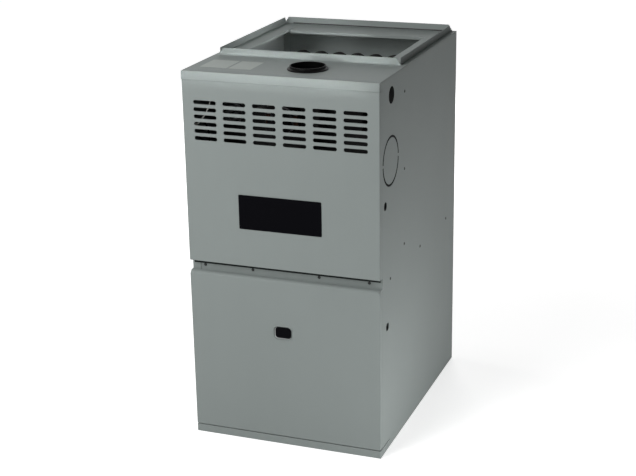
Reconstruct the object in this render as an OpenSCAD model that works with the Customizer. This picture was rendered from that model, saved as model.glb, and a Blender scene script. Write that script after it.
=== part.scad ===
// Forced air gas furnace, upflow, with an induced draft and a tubular heat exchanger.
// The origin is on the floor under the middle of the casing. X runs across the front,
// +Y runs from the doors to the back, and +Z is up. All sizes are in millimetres.

/* [Casing] */
// Width over the side panels
cab_w = 533.4; // [500:5:660]
// Depth from the cap's front lip to the heads of the back screws
cab_d = 711.2; // [700:5:860]
// Height of the casing, without its duct flanges
cab_h = 1016; // [1000:5:1240]
// Thickness of the casing steel
sheet = 1; // [0.8:0.1:1.4]
// Gap between sheets that are screwed or welded together
fit = 0.2; // [0.1:0.05:0.3]
// Width of the side panels' front return
front_return = 22; // [16:1:28]
// Width of the side panels' rear return
rear_return = 20; // [16:1:28]
// Width of the folded top and bottom hems
hem = 12; // [8:1:14]
// Height of the strip under the lower door
base_h = 21; // [16:1:30]
// Length of the strip's returns along the sides
base_return = 78; // [50:1:100]
// Margin between the casing and the return air opening
return_margin = 32; // [26:1:50]

/* [Top] */
// Depth of the cap over the burner compartment
cap_depth = 213.6; // [205:1:225]
// Height of the cap's front lip
lip_h = 22; // [16:1:30]
// How far the lip stands proud of the doors
lip_proud = 2; // [1.5:0.5:4]
// Height of the duct flanges
flange_h = 19; // [14:1:26]
// Inset of the side duct flanges from the casing
flange_in = 14; // [8:1:20]
// Inset of the rear duct flange from the back panel
flange_back_in = 9; // [5:1:20]
// Slant of the duct flanges' ends
flange_slant = 12; // [6:1:14]
// Width of the slot in front of the rear duct flange
lip_slot = 10; // [6:1:12]
// Width of the flat lip beside the supply opening
lip_side = 62; // [50:1:75]
// Width of the flat lip behind the supply opening
lip_back = 110; // [80:1:120]
// Vent position across the cap, from the middle
vent_x = 40; // [20:1:60]
// Gap between the vent collar and the flue collector box behind it
vent_gap = 4.6; // [2:0.1:6]
// Inner radius of the vent collar
vent_r = 44.6; // [36:0.1:46]
// Wall of the vent collar
vent_wall = 2; // [1.2:0.1:2.5]
// Width of the collar's flange on the cap
vent_flange = 7; // [4:0.5:9]
// Height of the collar above the cap
vent_rise = 10; // [6:1:16]

/* [Doors] */
// Depth of the door pans
door_depth = 19; // [15:1:22]
// Gap between a door pan and what is behind, above or below it
door_gap = 0.5; // [0.4:0.1:1]
// Top edge of the lower door
low_door_top = 474; // [470:1:476]
// Bottom edge of the upper door
high_door_bottom = 503; // [500:1:508]
// Width of the flange along a door's top and bottom
door_flange = 16; // [12:1:18]
// Number of louvre columns
louvre_cols = 6; // [4:1:6]
// Number of louvre rows
louvre_rows = 6; // [4:1:8]
// Length of a louvre slot
louvre_l = 63.5; // [50:0.5:70]
// Height of a louvre slot
louvre_h = 10.5; // [8:0.5:12]
// Distance between louvre columns
louvre_pitch_x = 81.6; // [75:0.1:84]
// Distance between louvre rows
louvre_pitch_z = 19.05; // [17:0.05:24]
// Top louvre row below the top of the casing
louvre_drop = 80; // [60:1:100]
// Width of the badge plate
badge_w = 229; // [150:1:260]
// Height of the badge plate
badge_h = 93; // [60:1:120]
// Thickness of the badge plate
badge_t = 0.8; // [0.5:0.1:1]
// Width of the sight glass lens
sight_w = 44; // [30:1:60]
// Height of the sight glass lens
sight_h = 28; // [20:1:40]
// Sight glass height above the floor
sight_z = 325; // [280:1:360]

/* [Side holes] */
// Radius of the gas pipe hole
gas_hole_r = 22; // [15:0.5:25]
// Radius of the wiring holes
wire_hole_r = 11.1; // [8:0.1:14]
// Radius of the large round knockout
knockout_r = 63; // [50:1:65]
// Width of the slit round a knockout
slit = 2; // [1:0.1:2.4]

/* [Burner compartment] */
// Front of the cap's lip to the vestibule panel
burner_room = 203; // [198:1:204]
// Top of the blower deck
deck_h = 495; // [492:1:498]
// Height of the burners above the deck
burner_rise = 105; // [95:1:120]
// Number of heat exchanger tubes
tubes = 6; // [6:1:6]
// Distance between tubes
tube_pitch = 54.4; // [50:0.1:60]
// Outer radius of a tube
tube_r = 21; // [16:0.5:22]
// Wall of a tube
tube_wall = 1.2; // [1:0.1:1.5]
// Top pass below the top of the casing
tube_drop = 62; // [55:1:90]
// Rear end of the tubes to the back panel
tube_back_room = 108; // [60:1:150]
// Depth of the flue collector box
collector_d = 44; // [35:1:46]
// Radius of the burner inlet
burner_in_r = 15; // [12:0.5:17]
// Radius of the burner head
burner_head_r = 18; // [14:0.5:20]
// Radius of the gas manifold
manifold_r = 10.7; // [8:0.1:12]
// Manifold behind the cap's lip
manifold_in = 80; // [76:1:86]
// Gas valve width
valve_w = 62; // [50:1:70]
// Gas valve depth
valve_d = 66; // [50:1:68]
// Gas valve height
valve_h = 84; // [70:1:100]
// Radius of the valve's threaded gas ports
port_r = 9.6; // [7:0.1:11]
// Radius of the gas valve knob
knob_r = 15; // [12:0.5:18]

/* [Inducer] */
// Radius of the inducer wheel
ind_wheel_r = 50; // [40:1:54]
// Width of the inducer wheel
ind_wheel_w = 26; // [18:1:34]
// Depth of the inducer scroll
ind_scroll_d = 56; // [48:1:58]
// Radius of the inducer motor
ind_motor_r = 36; // [30:1:40]
// Length of the inducer motor
ind_motor_l = 44; // [38:1:46]
// Radius of the inducer shaft
ind_shaft_r = 4; // [3:0.5:5]

/* [Blower] */
// Radius of the blower wheel
wheel_r = 127; // [110:1:130]
// Width of the blower wheel
wheel_w = 250; // [200:1:252]
// Depth of the wheel's blades
blade_d = 22; // [16:1:26]
// Number of blades
blades = 36; // [24:1:40]
// Width between the scroll's side plates
scroll_w = 280; // [270:1:300]
// Scroll radius at the cutoff
scroll_r0 = 140; // [136:1:146]
// Scroll radius at the outlet
scroll_r1 = 215; // [200:1:220]
// Radius of the blower's inlets
inlet_r = 114; // [100:1:118]
// Radius of the blower motor
motor_r = 70; // [60:1:76]
// Length of the blower motor
motor_l = 122; // [100:1:126]
// Radius of the blower shaft
shaft_r = 6.35; // [5:0.05:8]
// Running clearance round a shaft or stem
running = 0.06; // [0.02:0.01:0.08]

/* [Hidden] */
$fn = 48;
eps = 0.01;
screw_r = 2;
screw_head_r = 4.2;
screw_head = 3;
side_head = 1.2;
screw_clear = 0.1;

front = -cab_d / 2;
door_y = front + lip_proud;
frame_y = door_y + door_depth + door_gap;
back_y = cab_d / 2 - screw_head;
side_x = cab_w / 2;
in_x = side_x - sheet;
side_back = back_y - sheet - fit;
panel_top = cab_h - sheet - fit;
rail_back = front + base_return;
vest_y = front + burner_room;
cap_y = front + cap_depth;
high_door_top = cab_h - lip_h - door_gap;
low_door_bottom = base_h + door_gap + 2.5;

// Holes in the sides, as [y, z]
gas_hole = [front + 97, cab_h - 50];
knockout = [front + 91, cab_h - 219];
low_volt_hole = [front + 46, cab_h - 327];
line_hole = [front + 62, 355];

// Screws: heights on the back, places on the sides, and places along the centre rail
back_screw_z = [60, 60 + 0.294 * cab_h, 60 + 0.588 * cab_h, cab_h - 20];
back_screw_x = side_x - 10;
vest_screw_z = [deck_h + 42, (deck_h + cab_h) / 2 - 11, cab_h - 65];
vest_screw_y = vest_y + 5;
deck_screw_y = [front + 87, front + cab_d / 2, back_y - 92];
deck_screw_z = deck_h - 14;
rail_screw_x = [-0.865, -0.35, 0.35, 0.865];
rail_screw_z = deck_h - 8;

// Centre rail and deck
rail_y = frame_y + sheet + fit;
rail_low = deck_h - 33;
rail_high = deck_h + 21;
rail_flange = 25;
deck_flange = 24;
deck_front = rail_y + sheet + fit;
deck_back = side_back - sheet - fit;
deck_under = deck_h - sheet - fit;

// Supply opening
lip_x = side_x - lip_side;
lip_y = back_y - lip_back;
flange_x = side_x - flange_in;
flange_y = back_y - flange_back_in;

// Vent, in front of the flue collector box
col_y = vest_y - fit - collector_d;
vent_or = vent_r + vent_wall;
vent_y = col_y - vent_gap - vent_or;
vent_low = cab_h - 28;
vent_foot = 3;

// Heat exchanger
burner_z = deck_h + burner_rise;
// The passes stand a whole number of millimetres apart, so that rods and bends meet exactly
pass_pitch = floor((cab_h - tube_drop - burner_z) / 3);
tube_top = burner_z + 3 * pass_pitch;
bend_r = pass_pitch / 2;
tube_rear = back_y - tube_back_room;
rear_bend_y = tube_rear - bend_r - tube_r;
front_bend_y = vest_y + sheet + 8 + bend_r + tube_r;
tube_end = vest_y - 3;
tube_flare = min(2.5, tube_pitch / 2 - tube_r - fit);

// Flue collector box and inducer
col_x = tube_pitch * (tubes - 1) / 2 + tube_r + 12;
col_low = tube_top - 104;
col_high = cab_h - 26;
col_flange = 12;
ind_x = vent_x - 55;
ind_z = cab_h - 128;
ind_back = col_y - fit;
ind_front = ind_back - ind_scroll_d;
ind_wall = 1.5;
ind_r0 = ind_wheel_r + 8;
ind_r1 = 86;
ind_eye = 30;
ind_mouth_top = vent_low - fit;
ind_mouth_x0 = ind_x + 18;
ind_hole_r = ind_shaft_r + 3;
ind_leg = 10;
tap_x = 46;
tap_z = 34;
ind_motor_back = ind_front - ind_leg;
ind_motor_front = ind_motor_back - ind_motor_l;

// Burners and gas train
burner_back = vest_y - 10;
burner_l = 86;
burner_front = burner_back - burner_l;
burner_wall = 1.2;
manifold_y = front + manifold_in;
elbow_r = 22;
valve_x = side_x - 66;
valve_low = burner_z + 46;
valve_high = valve_low + valve_h;
inlet_x = valve_x + 10;
port_rise = 12;
port_wall = 6;
port_depth = 22;
orifice_r = 6.5;
orifice_end = burner_front - 6;
stem_r = 4;
stem_l = 9;
valve_face = manifold_y - valve_d / 2;
knob_x = valve_x + 10;
knob_z = valve_low + 56;
knob_l = 13;
bracket_x = col_x + 4;
bracket_low = burner_z - 30;
bracket_high = burner_z + 26;
bracket_face = burner_front + 12;

// Blower
wheel_y = back_y - 292;
wheel_z = deck_h - 260;
scroll_half = scroll_w / 2;
cut_a = 65;
cut_u = scroll_r0 * cos(cut_a);
outlet_h = deck_under - wheel_z;
scroll_flange = 14;
wrap = 1.2;
plate_half = 1;
motor_in = 62;
motor_out = motor_in + motor_l;
band_w = 20;
band_t = 2;
arm_a = [-90, 30, 150];

// Controls in the blower compartment
plate_y = wheel_y - scroll_r1 - scroll_flange - 8;
plate_x0 = -140;
plate_x1 = 104;
plate_low = 262;
board_x0 = -98;
board_x1 = 42;
board_low = 284;
board_high = 404;
board_y = plate_y - 12;
switch_x = 150;
switch_z = rail_low - fit - 14;
switch_back = rail_y + rail_flange - 2;
switch_front = rail_y + 3;
plunger_r = 3;
plunger_tip = door_y + 13;
jbox_w = 56;

steel = [0.53, 0.56, 0.55];
galvanised = [0.70, 0.72, 0.73];
aluminised = [0.62, 0.62, 0.60];
black = [0.05, 0.05, 0.05];

// ---------------------------------------------------------------- shared shapes

// Box between a low and a high corner
module span(lo, hi) {
    translate(lo) cube(hi - lo);
}

// Extrudes a shape drawn in Y and Z along X, from x0 to x1
module along_x(x0, x1) {
    translate([x0, 0, 0]) rotate([90, 0, 90]) linear_extrude(x1 - x0) children();
}

// Extrudes a shape drawn in X and Z along Y, from y0 to y1
module along_y(y0, y1) {
    translate([0, y1, 0]) rotate([90, 0, 0]) linear_extrude(y1 - y0) children();
}

// Rod along Y
module rod_y(x, z, r, y0, y1) {
    translate([x, y0, z]) rotate([-90, 0, 0]) cylinder(h = y1 - y0, r = r);
}

// Rod along X
module rod_x(y, z, r, x0, x1) {
    translate([x0, y, z]) rotate([0, 90, 0]) cylinder(h = x1 - x0, r = r);
}

// Revolves a shape drawn as [radius, distance] about an axis along +Y, starting at y0
module turn_y(x, z, y0) {
    translate([x, y0, z]) rotate([-90, 0, 0]) rotate_extrude() children();
}

// Slot with round ends, centred
module slot(l, h) {
    square([l - h, h], center = true);
    for (s = [-1, 1]) translate([s * (l - h) / 2, 0]) circle(h / 2);
}

// Rectangle with round corners, centred
module round_rect(w, h, r) {
    square([w - 2 * r, h], center = true);
    square([w, h - 2 * r], center = true);
    for (sx = [-1, 1], sz = [-1, 1]) translate([sx * (w / 2 - r), sz * (h / 2 - r)]) circle(r);
}

// Slit round a knockout, with two bridges that hold the disc
module knockout_slit(r, bridge_w) {
    difference() {
        circle(r + slit / 2);
        circle(r - slit / 2);
        square([3 * r, bridge_w], center = true);
    }
}

// Hexagon washer head screw, its head towards -Z, with its seat at z = 0
module screw(l, head = screw_head) {
    translate([0, 0, -head / 3]) cylinder(h = head / 3, r = screw_head_r);
    translate([0, 0, -head]) cylinder(h = head, r = screw_head_r * 0.72, $fn = 6);
    cylinder(h = l, r = screw_r);
}

// ---------------------------------------------------------------- routes of hoses and wires

// Smooth curve through points, n steps a span
function spline_at(p, i, t) =
    let (
        a = p[max(i - 1, 0)], b = p[i], c = p[i + 1], d = p[min(i + 2, len(p) - 1)]
    )
    0.5 * (2 * b + (c - a) * t + (2 * a - 5 * b + 4 * c - d) * t * t
        + (3 * b - a - 3 * c + d) * t * t * t);
function smooth(p, n) = concat(
    [for (i = [0:len(p) - 2], k = [0:n - 1]) spline_at(p, i, k / n)], [p[len(p) - 1]]);
function unit(v) = v / norm(v);
// Directions along a curve, whose ends point as the route's end stretches do
function headings(p, route) = concat(
    [unit(route[1] - route[0])], [for (i = [1:len(p) - 2]) unit(p[i + 1] - p[i - 1])],
    [unit(route[len(route) - 1] - route[len(route) - 2])]);
// Carries a normal along the curve without twist
function normals(h, i = 0, n = [0, 0, 0], out = []) =
    i == len(h) ? out
    : let (
        seed = i == 0 ? (abs(h[0][2]) < 0.9 ? [0, 0, 1] : [1, 0, 0]) : n,
        m = unit(seed - (seed * h[i]) * h[i])
    )
    normals(h, i + 1, m, concat(out, [m]));

// Round tube of radius r along a route
module hose(route, r, sides = 8, steps = 4) {
    p = smooth(route, steps);
    h = headings(p, route);
    n = normals(h);
    rings = len(p);
    points = [
        for (i = [0:rings - 1]) let (b = cross(h[i], n[i]))
            for (k = [0:sides - 1]) let (a = 360 * k / sides)
                p[i] + r * (cos(a) * n[i] + sin(a) * b)
    ];
    walls = [
        for (i = [0:rings - 2], k = [0:sides - 1])
            let (a = i * sides + k, b = i * sides + (k + 1) % sides)
                each [[a, a + sides, b], [b, a + sides, b + sides]]
    ];
    ends = [
        for (k = [1:sides - 2]) each [
            [0, k, k + 1],
            [(rings - 1) * sides, (rings - 1) * sides + k + 1, (rings - 1) * sides + k]
        ]
    ];
    polyhedron(points, concat(walls, ends), convexity = 6);
}

// ---------------------------------------------------------------- casing

// Outline of a side panel as [y, z], with its notch for the base strip
module side_outline() {
    polygon([
        [frame_y, base_h + fit], [rail_back + fit, base_h + fit], [rail_back + fit, 0],
        [side_back, 0], [side_back, panel_top], [frame_y, panel_top]
    ]);
}

// Right side panel, with open holes or with knockouts left in them
module side_panel(open) {
    difference() {
        union() {
            along_x(in_x, side_x) side_outline();
            span([in_x - front_return, frame_y, base_h + fit], [in_x + eps, frame_y + sheet, panel_top]);
            span([in_x - rear_return, side_back - sheet, 0], [in_x + eps, side_back, panel_top]);
            span([in_x - hem, frame_y + sheet / 2, panel_top - sheet],
                [in_x + eps, side_back - sheet / 2, panel_top]);
            span([in_x - hem, rail_back + fit, 0], [in_x + eps, side_back - sheet / 2, sheet]);
        }
        along_x(in_x - 1, side_x + 1) {
            translate(knockout) knockout_slit(knockout_r, 6);
            if (open) {
                translate(gas_hole) circle(gas_hole_r);
                translate(low_volt_hole) circle(wire_hole_r);
                translate(line_hole) circle(wire_hole_r);
            } else {
                translate(gas_hole) knockout_slit(gas_hole_r, 5);
                translate(low_volt_hole) knockout_slit(wire_hole_r, 4);
                translate(line_hole) knockout_slit(wire_hole_r, 4);
            }
            for (z = vest_screw_z) translate([vest_screw_y, z]) circle(screw_r + screw_clear);
            for (y = deck_screw_y) translate([y, deck_screw_z]) circle(screw_r + screw_clear);
        }
        for (z = back_screw_z)
            rod_y(back_screw_x, z, screw_r + screw_clear, side_back - 2 * sheet, side_back + 1);
    }
}

module right_side_panel() {
    color(steel) side_panel(true);
}

module left_side_panel() {
    color(steel) mirror([1, 0, 0]) side_panel(false);
}

module back_panel() {
    hem_x = in_x - rear_return - 2;
    color(steel) difference() {
        union() {
            span([-side_x, back_y - sheet, 0], [side_x, back_y, panel_top]);
            span([-hem_x, back_y - sheet - hem, panel_top - sheet], [hem_x, back_y - sheet / 2, panel_top]);
        }
        for (s = [-1, 1], z = back_screw_z)
            rod_y(s * back_screw_x, z, screw_r + screw_clear, back_y - 2 * sheet, back_y + 1);
    }
}

// Every screw that holds the casing together
module casing_screws() {
    color(galvanised) {
        for (s = [-1, 1], z = back_screw_z)
            translate([s * back_screw_x, back_y, z]) rotate([90, 0, 0]) screw(8);
        for (s = [0, 1]) mirror([s, 0, 0]) {
            for (z = vest_screw_z)
                translate([side_x, vest_screw_y, z]) rotate([0, -90, 0]) screw(7, side_head);
            for (y = deck_screw_y)
                translate([side_x, y, deck_screw_z]) rotate([0, -90, 0]) screw(7, side_head);
        }
        for (k = rail_screw_x)
            translate([k * side_x, rail_y, rail_screw_z]) rotate([-90, 0, 0]) screw(8);
    }
}

// Upright duct flange drawn as [along, up], with slanted ends
module flange_outline(a, b, slant_a, slant_b) {
    polygon([
        [a, -sheet / 2], [b, -sheet / 2], [b, 0], [b - slant_b, flange_h], [a + slant_a, flange_h], [a, 0]
    ]);
}

module top_cap() {
    ear = 6;
    lip_hem = 9;
    color(steel) difference() {
        union() {
            span([-side_x, front, cab_h - sheet], [side_x, cap_y, cab_h]);
            span([-side_x, front, cab_h - lip_h], [side_x, front + sheet, cab_h]);
            span([-side_x, front + sheet / 2, cab_h - lip_h],
                [side_x, front + lip_proud, cab_h - lip_h + lip_hem]);
            for (s = [0, 1]) mirror([s, 0, 0])
                span([in_x, front + ear, cab_h - lip_h], [side_x, frame_y - fit, cab_h]);
            translate([0, 0, cab_h]) along_y(cap_y - sheet, cap_y)
                flange_outline(-flange_x - 2, flange_x + 2, flange_slant, flange_slant);
        }
        translate([vent_x, vent_y, cab_h - 5]) cylinder(h = 10, r = vent_or + fit, $fn = 96);
    }
}

// Flat lips round the supply opening, and their upright duct flanges
module supply_flanges() {
    lip_end = flange_y - sheet - fit;
    slot_y = flange_y - sheet - lip_slot;
    slot_x = lip_x + 26;
    under = cab_h - sheet - fit;
    color(steel) {
        for (s = [0, 1]) mirror([s, 0, 0]) {
            translate([0, 0, cab_h - sheet]) linear_extrude(sheet) polygon([
                [lip_x, cap_y + fit], [side_x, cap_y + fit], [side_x, lip_end],
                [slot_x, lip_end], [slot_x, slot_y], [lip_x, slot_y]
            ]);
            translate([0, 0, cab_h]) along_x(flange_x - sheet, flange_x)
                flange_outline(cap_y + fit, lip_end - 1, 4, flange_slant);
        }
        // Plate behind the opening, under the side lips
        span([-lip_x - 12, lip_y, under - sheet], [lip_x + 12, slot_y, under]);
        // Angle along the back
        span([-side_x, flange_y - sheet, cab_h - sheet], [side_x, back_y, cab_h]);
        translate([0, 0, cab_h]) along_y(flange_y - sheet, flange_y)
            flange_outline(-flange_x - 5, flange_x + 5, flange_slant, flange_slant);
    }
}

// Floor of the casing, open for the return air
module base_pan() {
    z0 = sheet + fit;
    edge = in_x - fit;
    y0 = door_y + sheet + fit;
    y1 = side_back - sheet - fit;
    color(galvanised) {
        difference() {
            span([-edge, y0, z0], [edge, y1, z0 + sheet]);
            span([-in_x + return_margin, frame_y + 66, -1], [in_x - return_margin, y1 - 60, z0 + 5]);
            // Room for the side panels' front and rear returns
            for (s = [0, 1]) mirror([s, 0, 0])
                span([in_x - front_return - fit, y0 - 1, -1], [in_x + 1, frame_y + sheet + fit, z0 + 5]);
        }
        for (s = [0, 1]) mirror([s, 0, 0])
            span([edge - sheet, frame_y + sheet + 2, z0 + sheet / 2], [edge, y1, z0 + 11]);
    }
}

// Strip across the front under the lower door, with returns round both corners
module base_front_rail() {
    color(steel) {
        span([-side_x, door_y, 0], [side_x, door_y + sheet, base_h]);
        span([-in_x - eps, door_y + sheet / 2, base_h - sheet], [in_x + eps, frame_y + 3, base_h]);
        span([-in_x - eps, door_y + sheet / 2, 0], [in_x + eps, door_y + 16, sheet]);
        for (s = [0, 1]) mirror([s, 0, 0])
            span([in_x, door_y + sheet / 2, 0], [side_x, rail_back, base_h]);
    }
}

// Channel between the two doors
module centre_rail() {
    edge = in_x - fit;
    color(steel) difference() {
        union() {
            span([-edge, rail_y, rail_low], [edge, rail_y + sheet, rail_high]);
            span([-edge, rail_y + sheet / 2, rail_low], [edge, rail_y + rail_flange, rail_low + sheet]);
        }
        for (k = rail_screw_x)
            rod_y(k * side_x, rail_screw_z, screw_r + screw_clear, rail_y - 1, rail_y + sheet + 1);
    }
}

// Shelf that carries the blower and divides the two compartments
module blower_deck() {
    edge = in_x - fit;
    low = deck_h - deck_flange;
    color(galvanised) difference() {
        union() {
            span([-edge, deck_front, deck_h - sheet], [edge, deck_back, deck_h]);
            span([-edge, deck_front, low], [edge, deck_front + sheet, deck_h - sheet / 2]);
            for (s = [0, 1]) mirror([s, 0, 0])
                span([edge - sheet, deck_front, low], [edge, deck_back, deck_h - sheet / 2]);
        }
        span([-scroll_half + 1, wheel_y - scroll_r1 + wrap, deck_h - 5],
            [scroll_half - 1, wheel_y + cut_u - wrap, deck_h + 5]);
        for (k = rail_screw_x)
            rod_y(k * side_x, rail_screw_z, screw_r + screw_clear, deck_front - 1, deck_front + sheet + 1);
        for (y = deck_screw_y)
            rod_x(y, deck_screw_z, screw_r + screw_clear, -side_x, side_x);
    }
}

// Wall between the burner compartment and the heat exchanger
module vestibule_panel() {
    edge = in_x - fit;
    low = deck_h + fit;
    high = cab_h - sheet - fit;
    color(galvanised) difference() {
        union() {
            span([-edge + hem, vest_y, low], [edge - hem, vest_y + sheet, high]);
            span([-edge, vest_y, low], [edge, vest_y + sheet, high - 2 * sheet]);
            span([-edge + hem, vest_y + sheet / 2, high - sheet], [edge - hem, cap_y - sheet, high]);
            span([-edge, vest_y - 18, low], [edge, vest_y + sheet / 2, low + sheet]);
            for (s = [0, 1]) mirror([s, 0, 0])
                span([edge - sheet, vest_y + sheet / 2, low], [edge, vest_y + 20, high - 2 * sheet]);
        }
        for (i = [1:tubes], z = [burner_z, tube_top])
            rod_y(tube_x(i), z, tube_r + fit, vest_y - 1, vest_y + sheet + 1);
        for (z = vest_screw_z)
            rod_x(vest_screw_y, z, screw_r + screw_clear, -side_x, side_x);
    }
}

// Round collar that the flue pipe seats in, with its flange on the cap
module vent_collar() {
    color(black) translate([vent_x, vent_y, 0]) difference() {
        union() {
            translate([0, 0, vent_low]) cylinder(h = cab_h - vent_low + vent_rise, r = vent_or, $fn = 96);
            translate([0, 0, cab_h]) cylinder(h = vent_foot, r = vent_or + vent_flange, $fn = 96);
            translate([0, 0, vent_low]) cylinder(h = 1.5, r = vent_or + 3, $fn = 96);
        }
        translate([0, 0, vent_low - 1]) cylinder(h = cab_h, r = vent_r, $fn = 96);
    }
}

// ---------------------------------------------------------------- heat exchanger

function tube_x(i) = (i - (tubes + 1) / 2) * tube_pitch;

// Half turn that joins two passes, bulging towards +Y
module half_turn(y, z, r) {
    translate([0, y, z]) rotate([0, 90, 0]) rotate_extrude(angle = 180) translate([bend_r, 0]) circle(r);
}

// Solid serpentine of radius r, with its two ends at y = end
module serpentine(r, end) {
    for (k = [0:3])
        rod_y(0, burner_z + k * pass_pitch, r, k == 0 || k == 3 ? end : front_bend_y, rear_bend_y);
    half_turn(rear_bend_y, burner_z + bend_r, r);
    mirror([0, 1, 0]) half_turn(-front_bend_y, burner_z + pass_pitch + bend_r, r);
    half_turn(rear_bend_y, burner_z + 2 * pass_pitch + bend_r, r);
}

// One serpentine tube, fired at its lowest pass, with the flares that hold it in the panel
module heat_exchanger_tube(i) {
    color(aluminised) translate([tube_x(i), 0, 0]) difference() {
        union() {
            serpentine(tube_r, tube_end);
            for (z = [burner_z, tube_top]) rod_y(0, z, tube_r + tube_flare, tube_end, vest_y - fit);
        }
        serpentine(tube_r - tube_wall, tube_end - 1);
    }
}

// Pan that gathers the flue gas from the top passes
module flue_collector_box() {
    color(aluminised) difference() {
        union() {
            span([-col_x, col_y, col_low], [col_x, vest_y - fit, col_high]);
            span([-col_x - col_flange, vest_y - fit - sheet, col_low - col_flange],
                [col_x + col_flange, vest_y - fit, col_high]);
        }
        span([-col_x + sheet, col_y + sheet, col_low + sheet], [col_x - sheet, vest_y, col_high - sheet]);
        rod_y(ind_x, ind_z, ind_eye, col_y - 1, col_y + sheet + 1);
    }
}

// ---------------------------------------------------------------- inducer

// Spiral from angle a0 to a1, with its radius growing from r0 to r1
function spiral(r0, r1, a0, a1, n) =
    [for (i = [0:n])
        let (a = a0 + (a1 - a0) * i / n, r = r0 + (r1 - r0) * i / n) [r * cos(a), r * sin(a)]];

// Outline of the inducer scroll, moved in by a wall
module inducer_outline(wall) {
    mouth = ind_mouth_top - 30 - ind_z;
    translate([ind_x, ind_z]) polygon(concat(
        spiral(ind_r0 - wall, ind_r1 - wall, 70, 360, 36),
        [[ind_r1 - wall, mouth], [ind_mouth_x0 - ind_x + wall, mouth]]
    ));
}

// Box to circle transition from the scroll's mouth to the vent collar, moved in by a wall
module inducer_throat(wall, more) {
    low = ind_mouth_top - 30;
    hull() {
        span([ind_mouth_x0 + wall, ind_front + wall, low - more],
            [ind_x + ind_r1 - wall, ind_back - wall, low + 1]);
        translate([vent_x, vent_y, ind_mouth_top - 6])
            cylinder(h = 6 + more, r = vent_r - 2 - wall, $fn = 32);
    }
}

module inducer_housing() {
    color(aluminised) {
        difference() {
            along_y(ind_front, ind_back) inducer_outline(0);
            along_y(ind_front + ind_wall, ind_back - ind_wall) inducer_outline(ind_wall);
            rod_y(ind_x, ind_z, ind_eye, ind_back - 3, ind_back + 1);
            rod_y(ind_x, ind_z, ind_hole_r, ind_front - 1, ind_front + 3);
            span([ind_mouth_x0 + ind_wall, ind_front + ind_wall, ind_mouth_top - 33],
                [ind_x + ind_r1 - ind_wall, ind_back - ind_wall, ind_mouth_top]);
        }
        difference() {
            inducer_throat(0, 0);
            inducer_throat(ind_wall, 1);
        }
        // Pressure tap
        rod_y(ind_x - tap_x, ind_z + tap_z, 3.5, ind_front - 9, ind_front + eps);
    }
}

// Motor on three legs, with its lamination stack and coil
module inducer_motor() {
    r = ind_motor_r;
    color(black) difference() {
        union() {
            rod_y(ind_x, ind_z, r, ind_motor_front + 8, ind_motor_back - 8);
            rod_y(ind_x, ind_z, r * 0.55, ind_motor_front, ind_motor_back);
            span([ind_x - r - 6, ind_motor_front + 14, ind_z - 22],
                [ind_x + r + 6, ind_motor_back - 14, ind_z + 22]);
            for (a = [90, 210, 330])
                rod_y(ind_x + (r - 6) * cos(a), ind_z + (r - 6) * sin(a), 4,
                    ind_motor_back - 12, ind_front - fit);
        }
        rod_y(ind_x, ind_z, ind_shaft_r + running, ind_motor_front - 1, ind_motor_back + 1);
    }
}

ind_shaft_front = ind_motor_front - 12;
ind_wheel_back = ind_back - 8;
ind_wheel_front = ind_wheel_back - ind_wheel_w;

module inducer_shaft() {
    color(galvanised) rod_y(ind_x, ind_z, ind_shaft_r, ind_shaft_front, ind_wheel_back - 4);
}

module inducer_wheel() {
    hub = ind_shaft_r + 5;
    color(galvanised) difference() {
        union() {
            rod_y(ind_x, ind_z, ind_wheel_r, ind_wheel_front, ind_wheel_front + 1.5);
            rod_y(ind_x, ind_z, hub, ind_wheel_front - 4, ind_wheel_back - 6);
            for (a = [0:45:315])
                translate([ind_x, ind_wheel_front + 1, ind_z]) rotate([0, a, 0])
                    span([18, 0, 0], [ind_wheel_r, ind_wheel_w - 1, 1.2]);
        }
        rod_y(ind_x, ind_z, ind_shaft_r + running, ind_wheel_front - 5, ind_wheel_back);
    }
}

// Small fan that cools the motor
module inducer_cooling_fan() {
    hub = ind_shaft_r + 4;
    y0 = ind_motor_front - 10;
    color(black) difference() {
        union() {
            rod_y(ind_x, ind_z, hub, y0, y0 + 8);
            for (a = [0:60:300])
                translate([ind_x, y0 + 4, ind_z]) rotate([0, a, 0]) rotate([30, 0, 0])
                    span([hub - 1, -0.6, -7], [ind_motor_r - 3, 0.6, 7]);
        }
        rod_y(ind_x, ind_z, ind_shaft_r + running, y0 - 1, y0 + 9);
    }
}

// ---------------------------------------------------------------- burners and gas train

// One burner: inlet bell, throat and flame head
module burner(i) {
    w = burner_wall;
    color(aluminised) turn_y(tube_x(i), burner_z, burner_front) polygon([
        [burner_in_r - w, 0], [burner_in_r, 0], [burner_in_r, 12], [10, 32], [10, 48],
        [burner_head_r, 66], [burner_head_r, burner_l], [burner_head_r - w, burner_l],
        [burner_head_r - w, 67], [10 - w, 48.5], [10 - w, 31.5], [burner_in_r - w, 11.5]
    ]);
}

// Tray that holds the burners and carries the manifold's ends
module burner_bracket() {
    color(galvanised) difference() {
        union() {
            span([-bracket_x, bracket_face, bracket_low], [bracket_x, vest_y - fit, bracket_low + sheet]);
            span([-bracket_x, bracket_face, bracket_low], [bracket_x, bracket_face + sheet, bracket_high]);
            for (s = [0, 1]) mirror([s, 0, 0])
                span([bracket_x - sheet, manifold_y - 16, bracket_low],
                    [bracket_x, vest_y - fit, bracket_high]);
            span([-bracket_x, vest_y - fit - sheet, bracket_low - 14],
                [bracket_x, vest_y - fit, bracket_low + sheet]);
        }
        for (i = [1:tubes])
            rod_y(tube_x(i), burner_z, burner_in_r + fit, bracket_face - 1, bracket_face + sheet + 1);
        rod_x(manifold_y, burner_z, manifold_r + fit, -bracket_x - 1, bracket_x + 1);
    }
}

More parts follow.
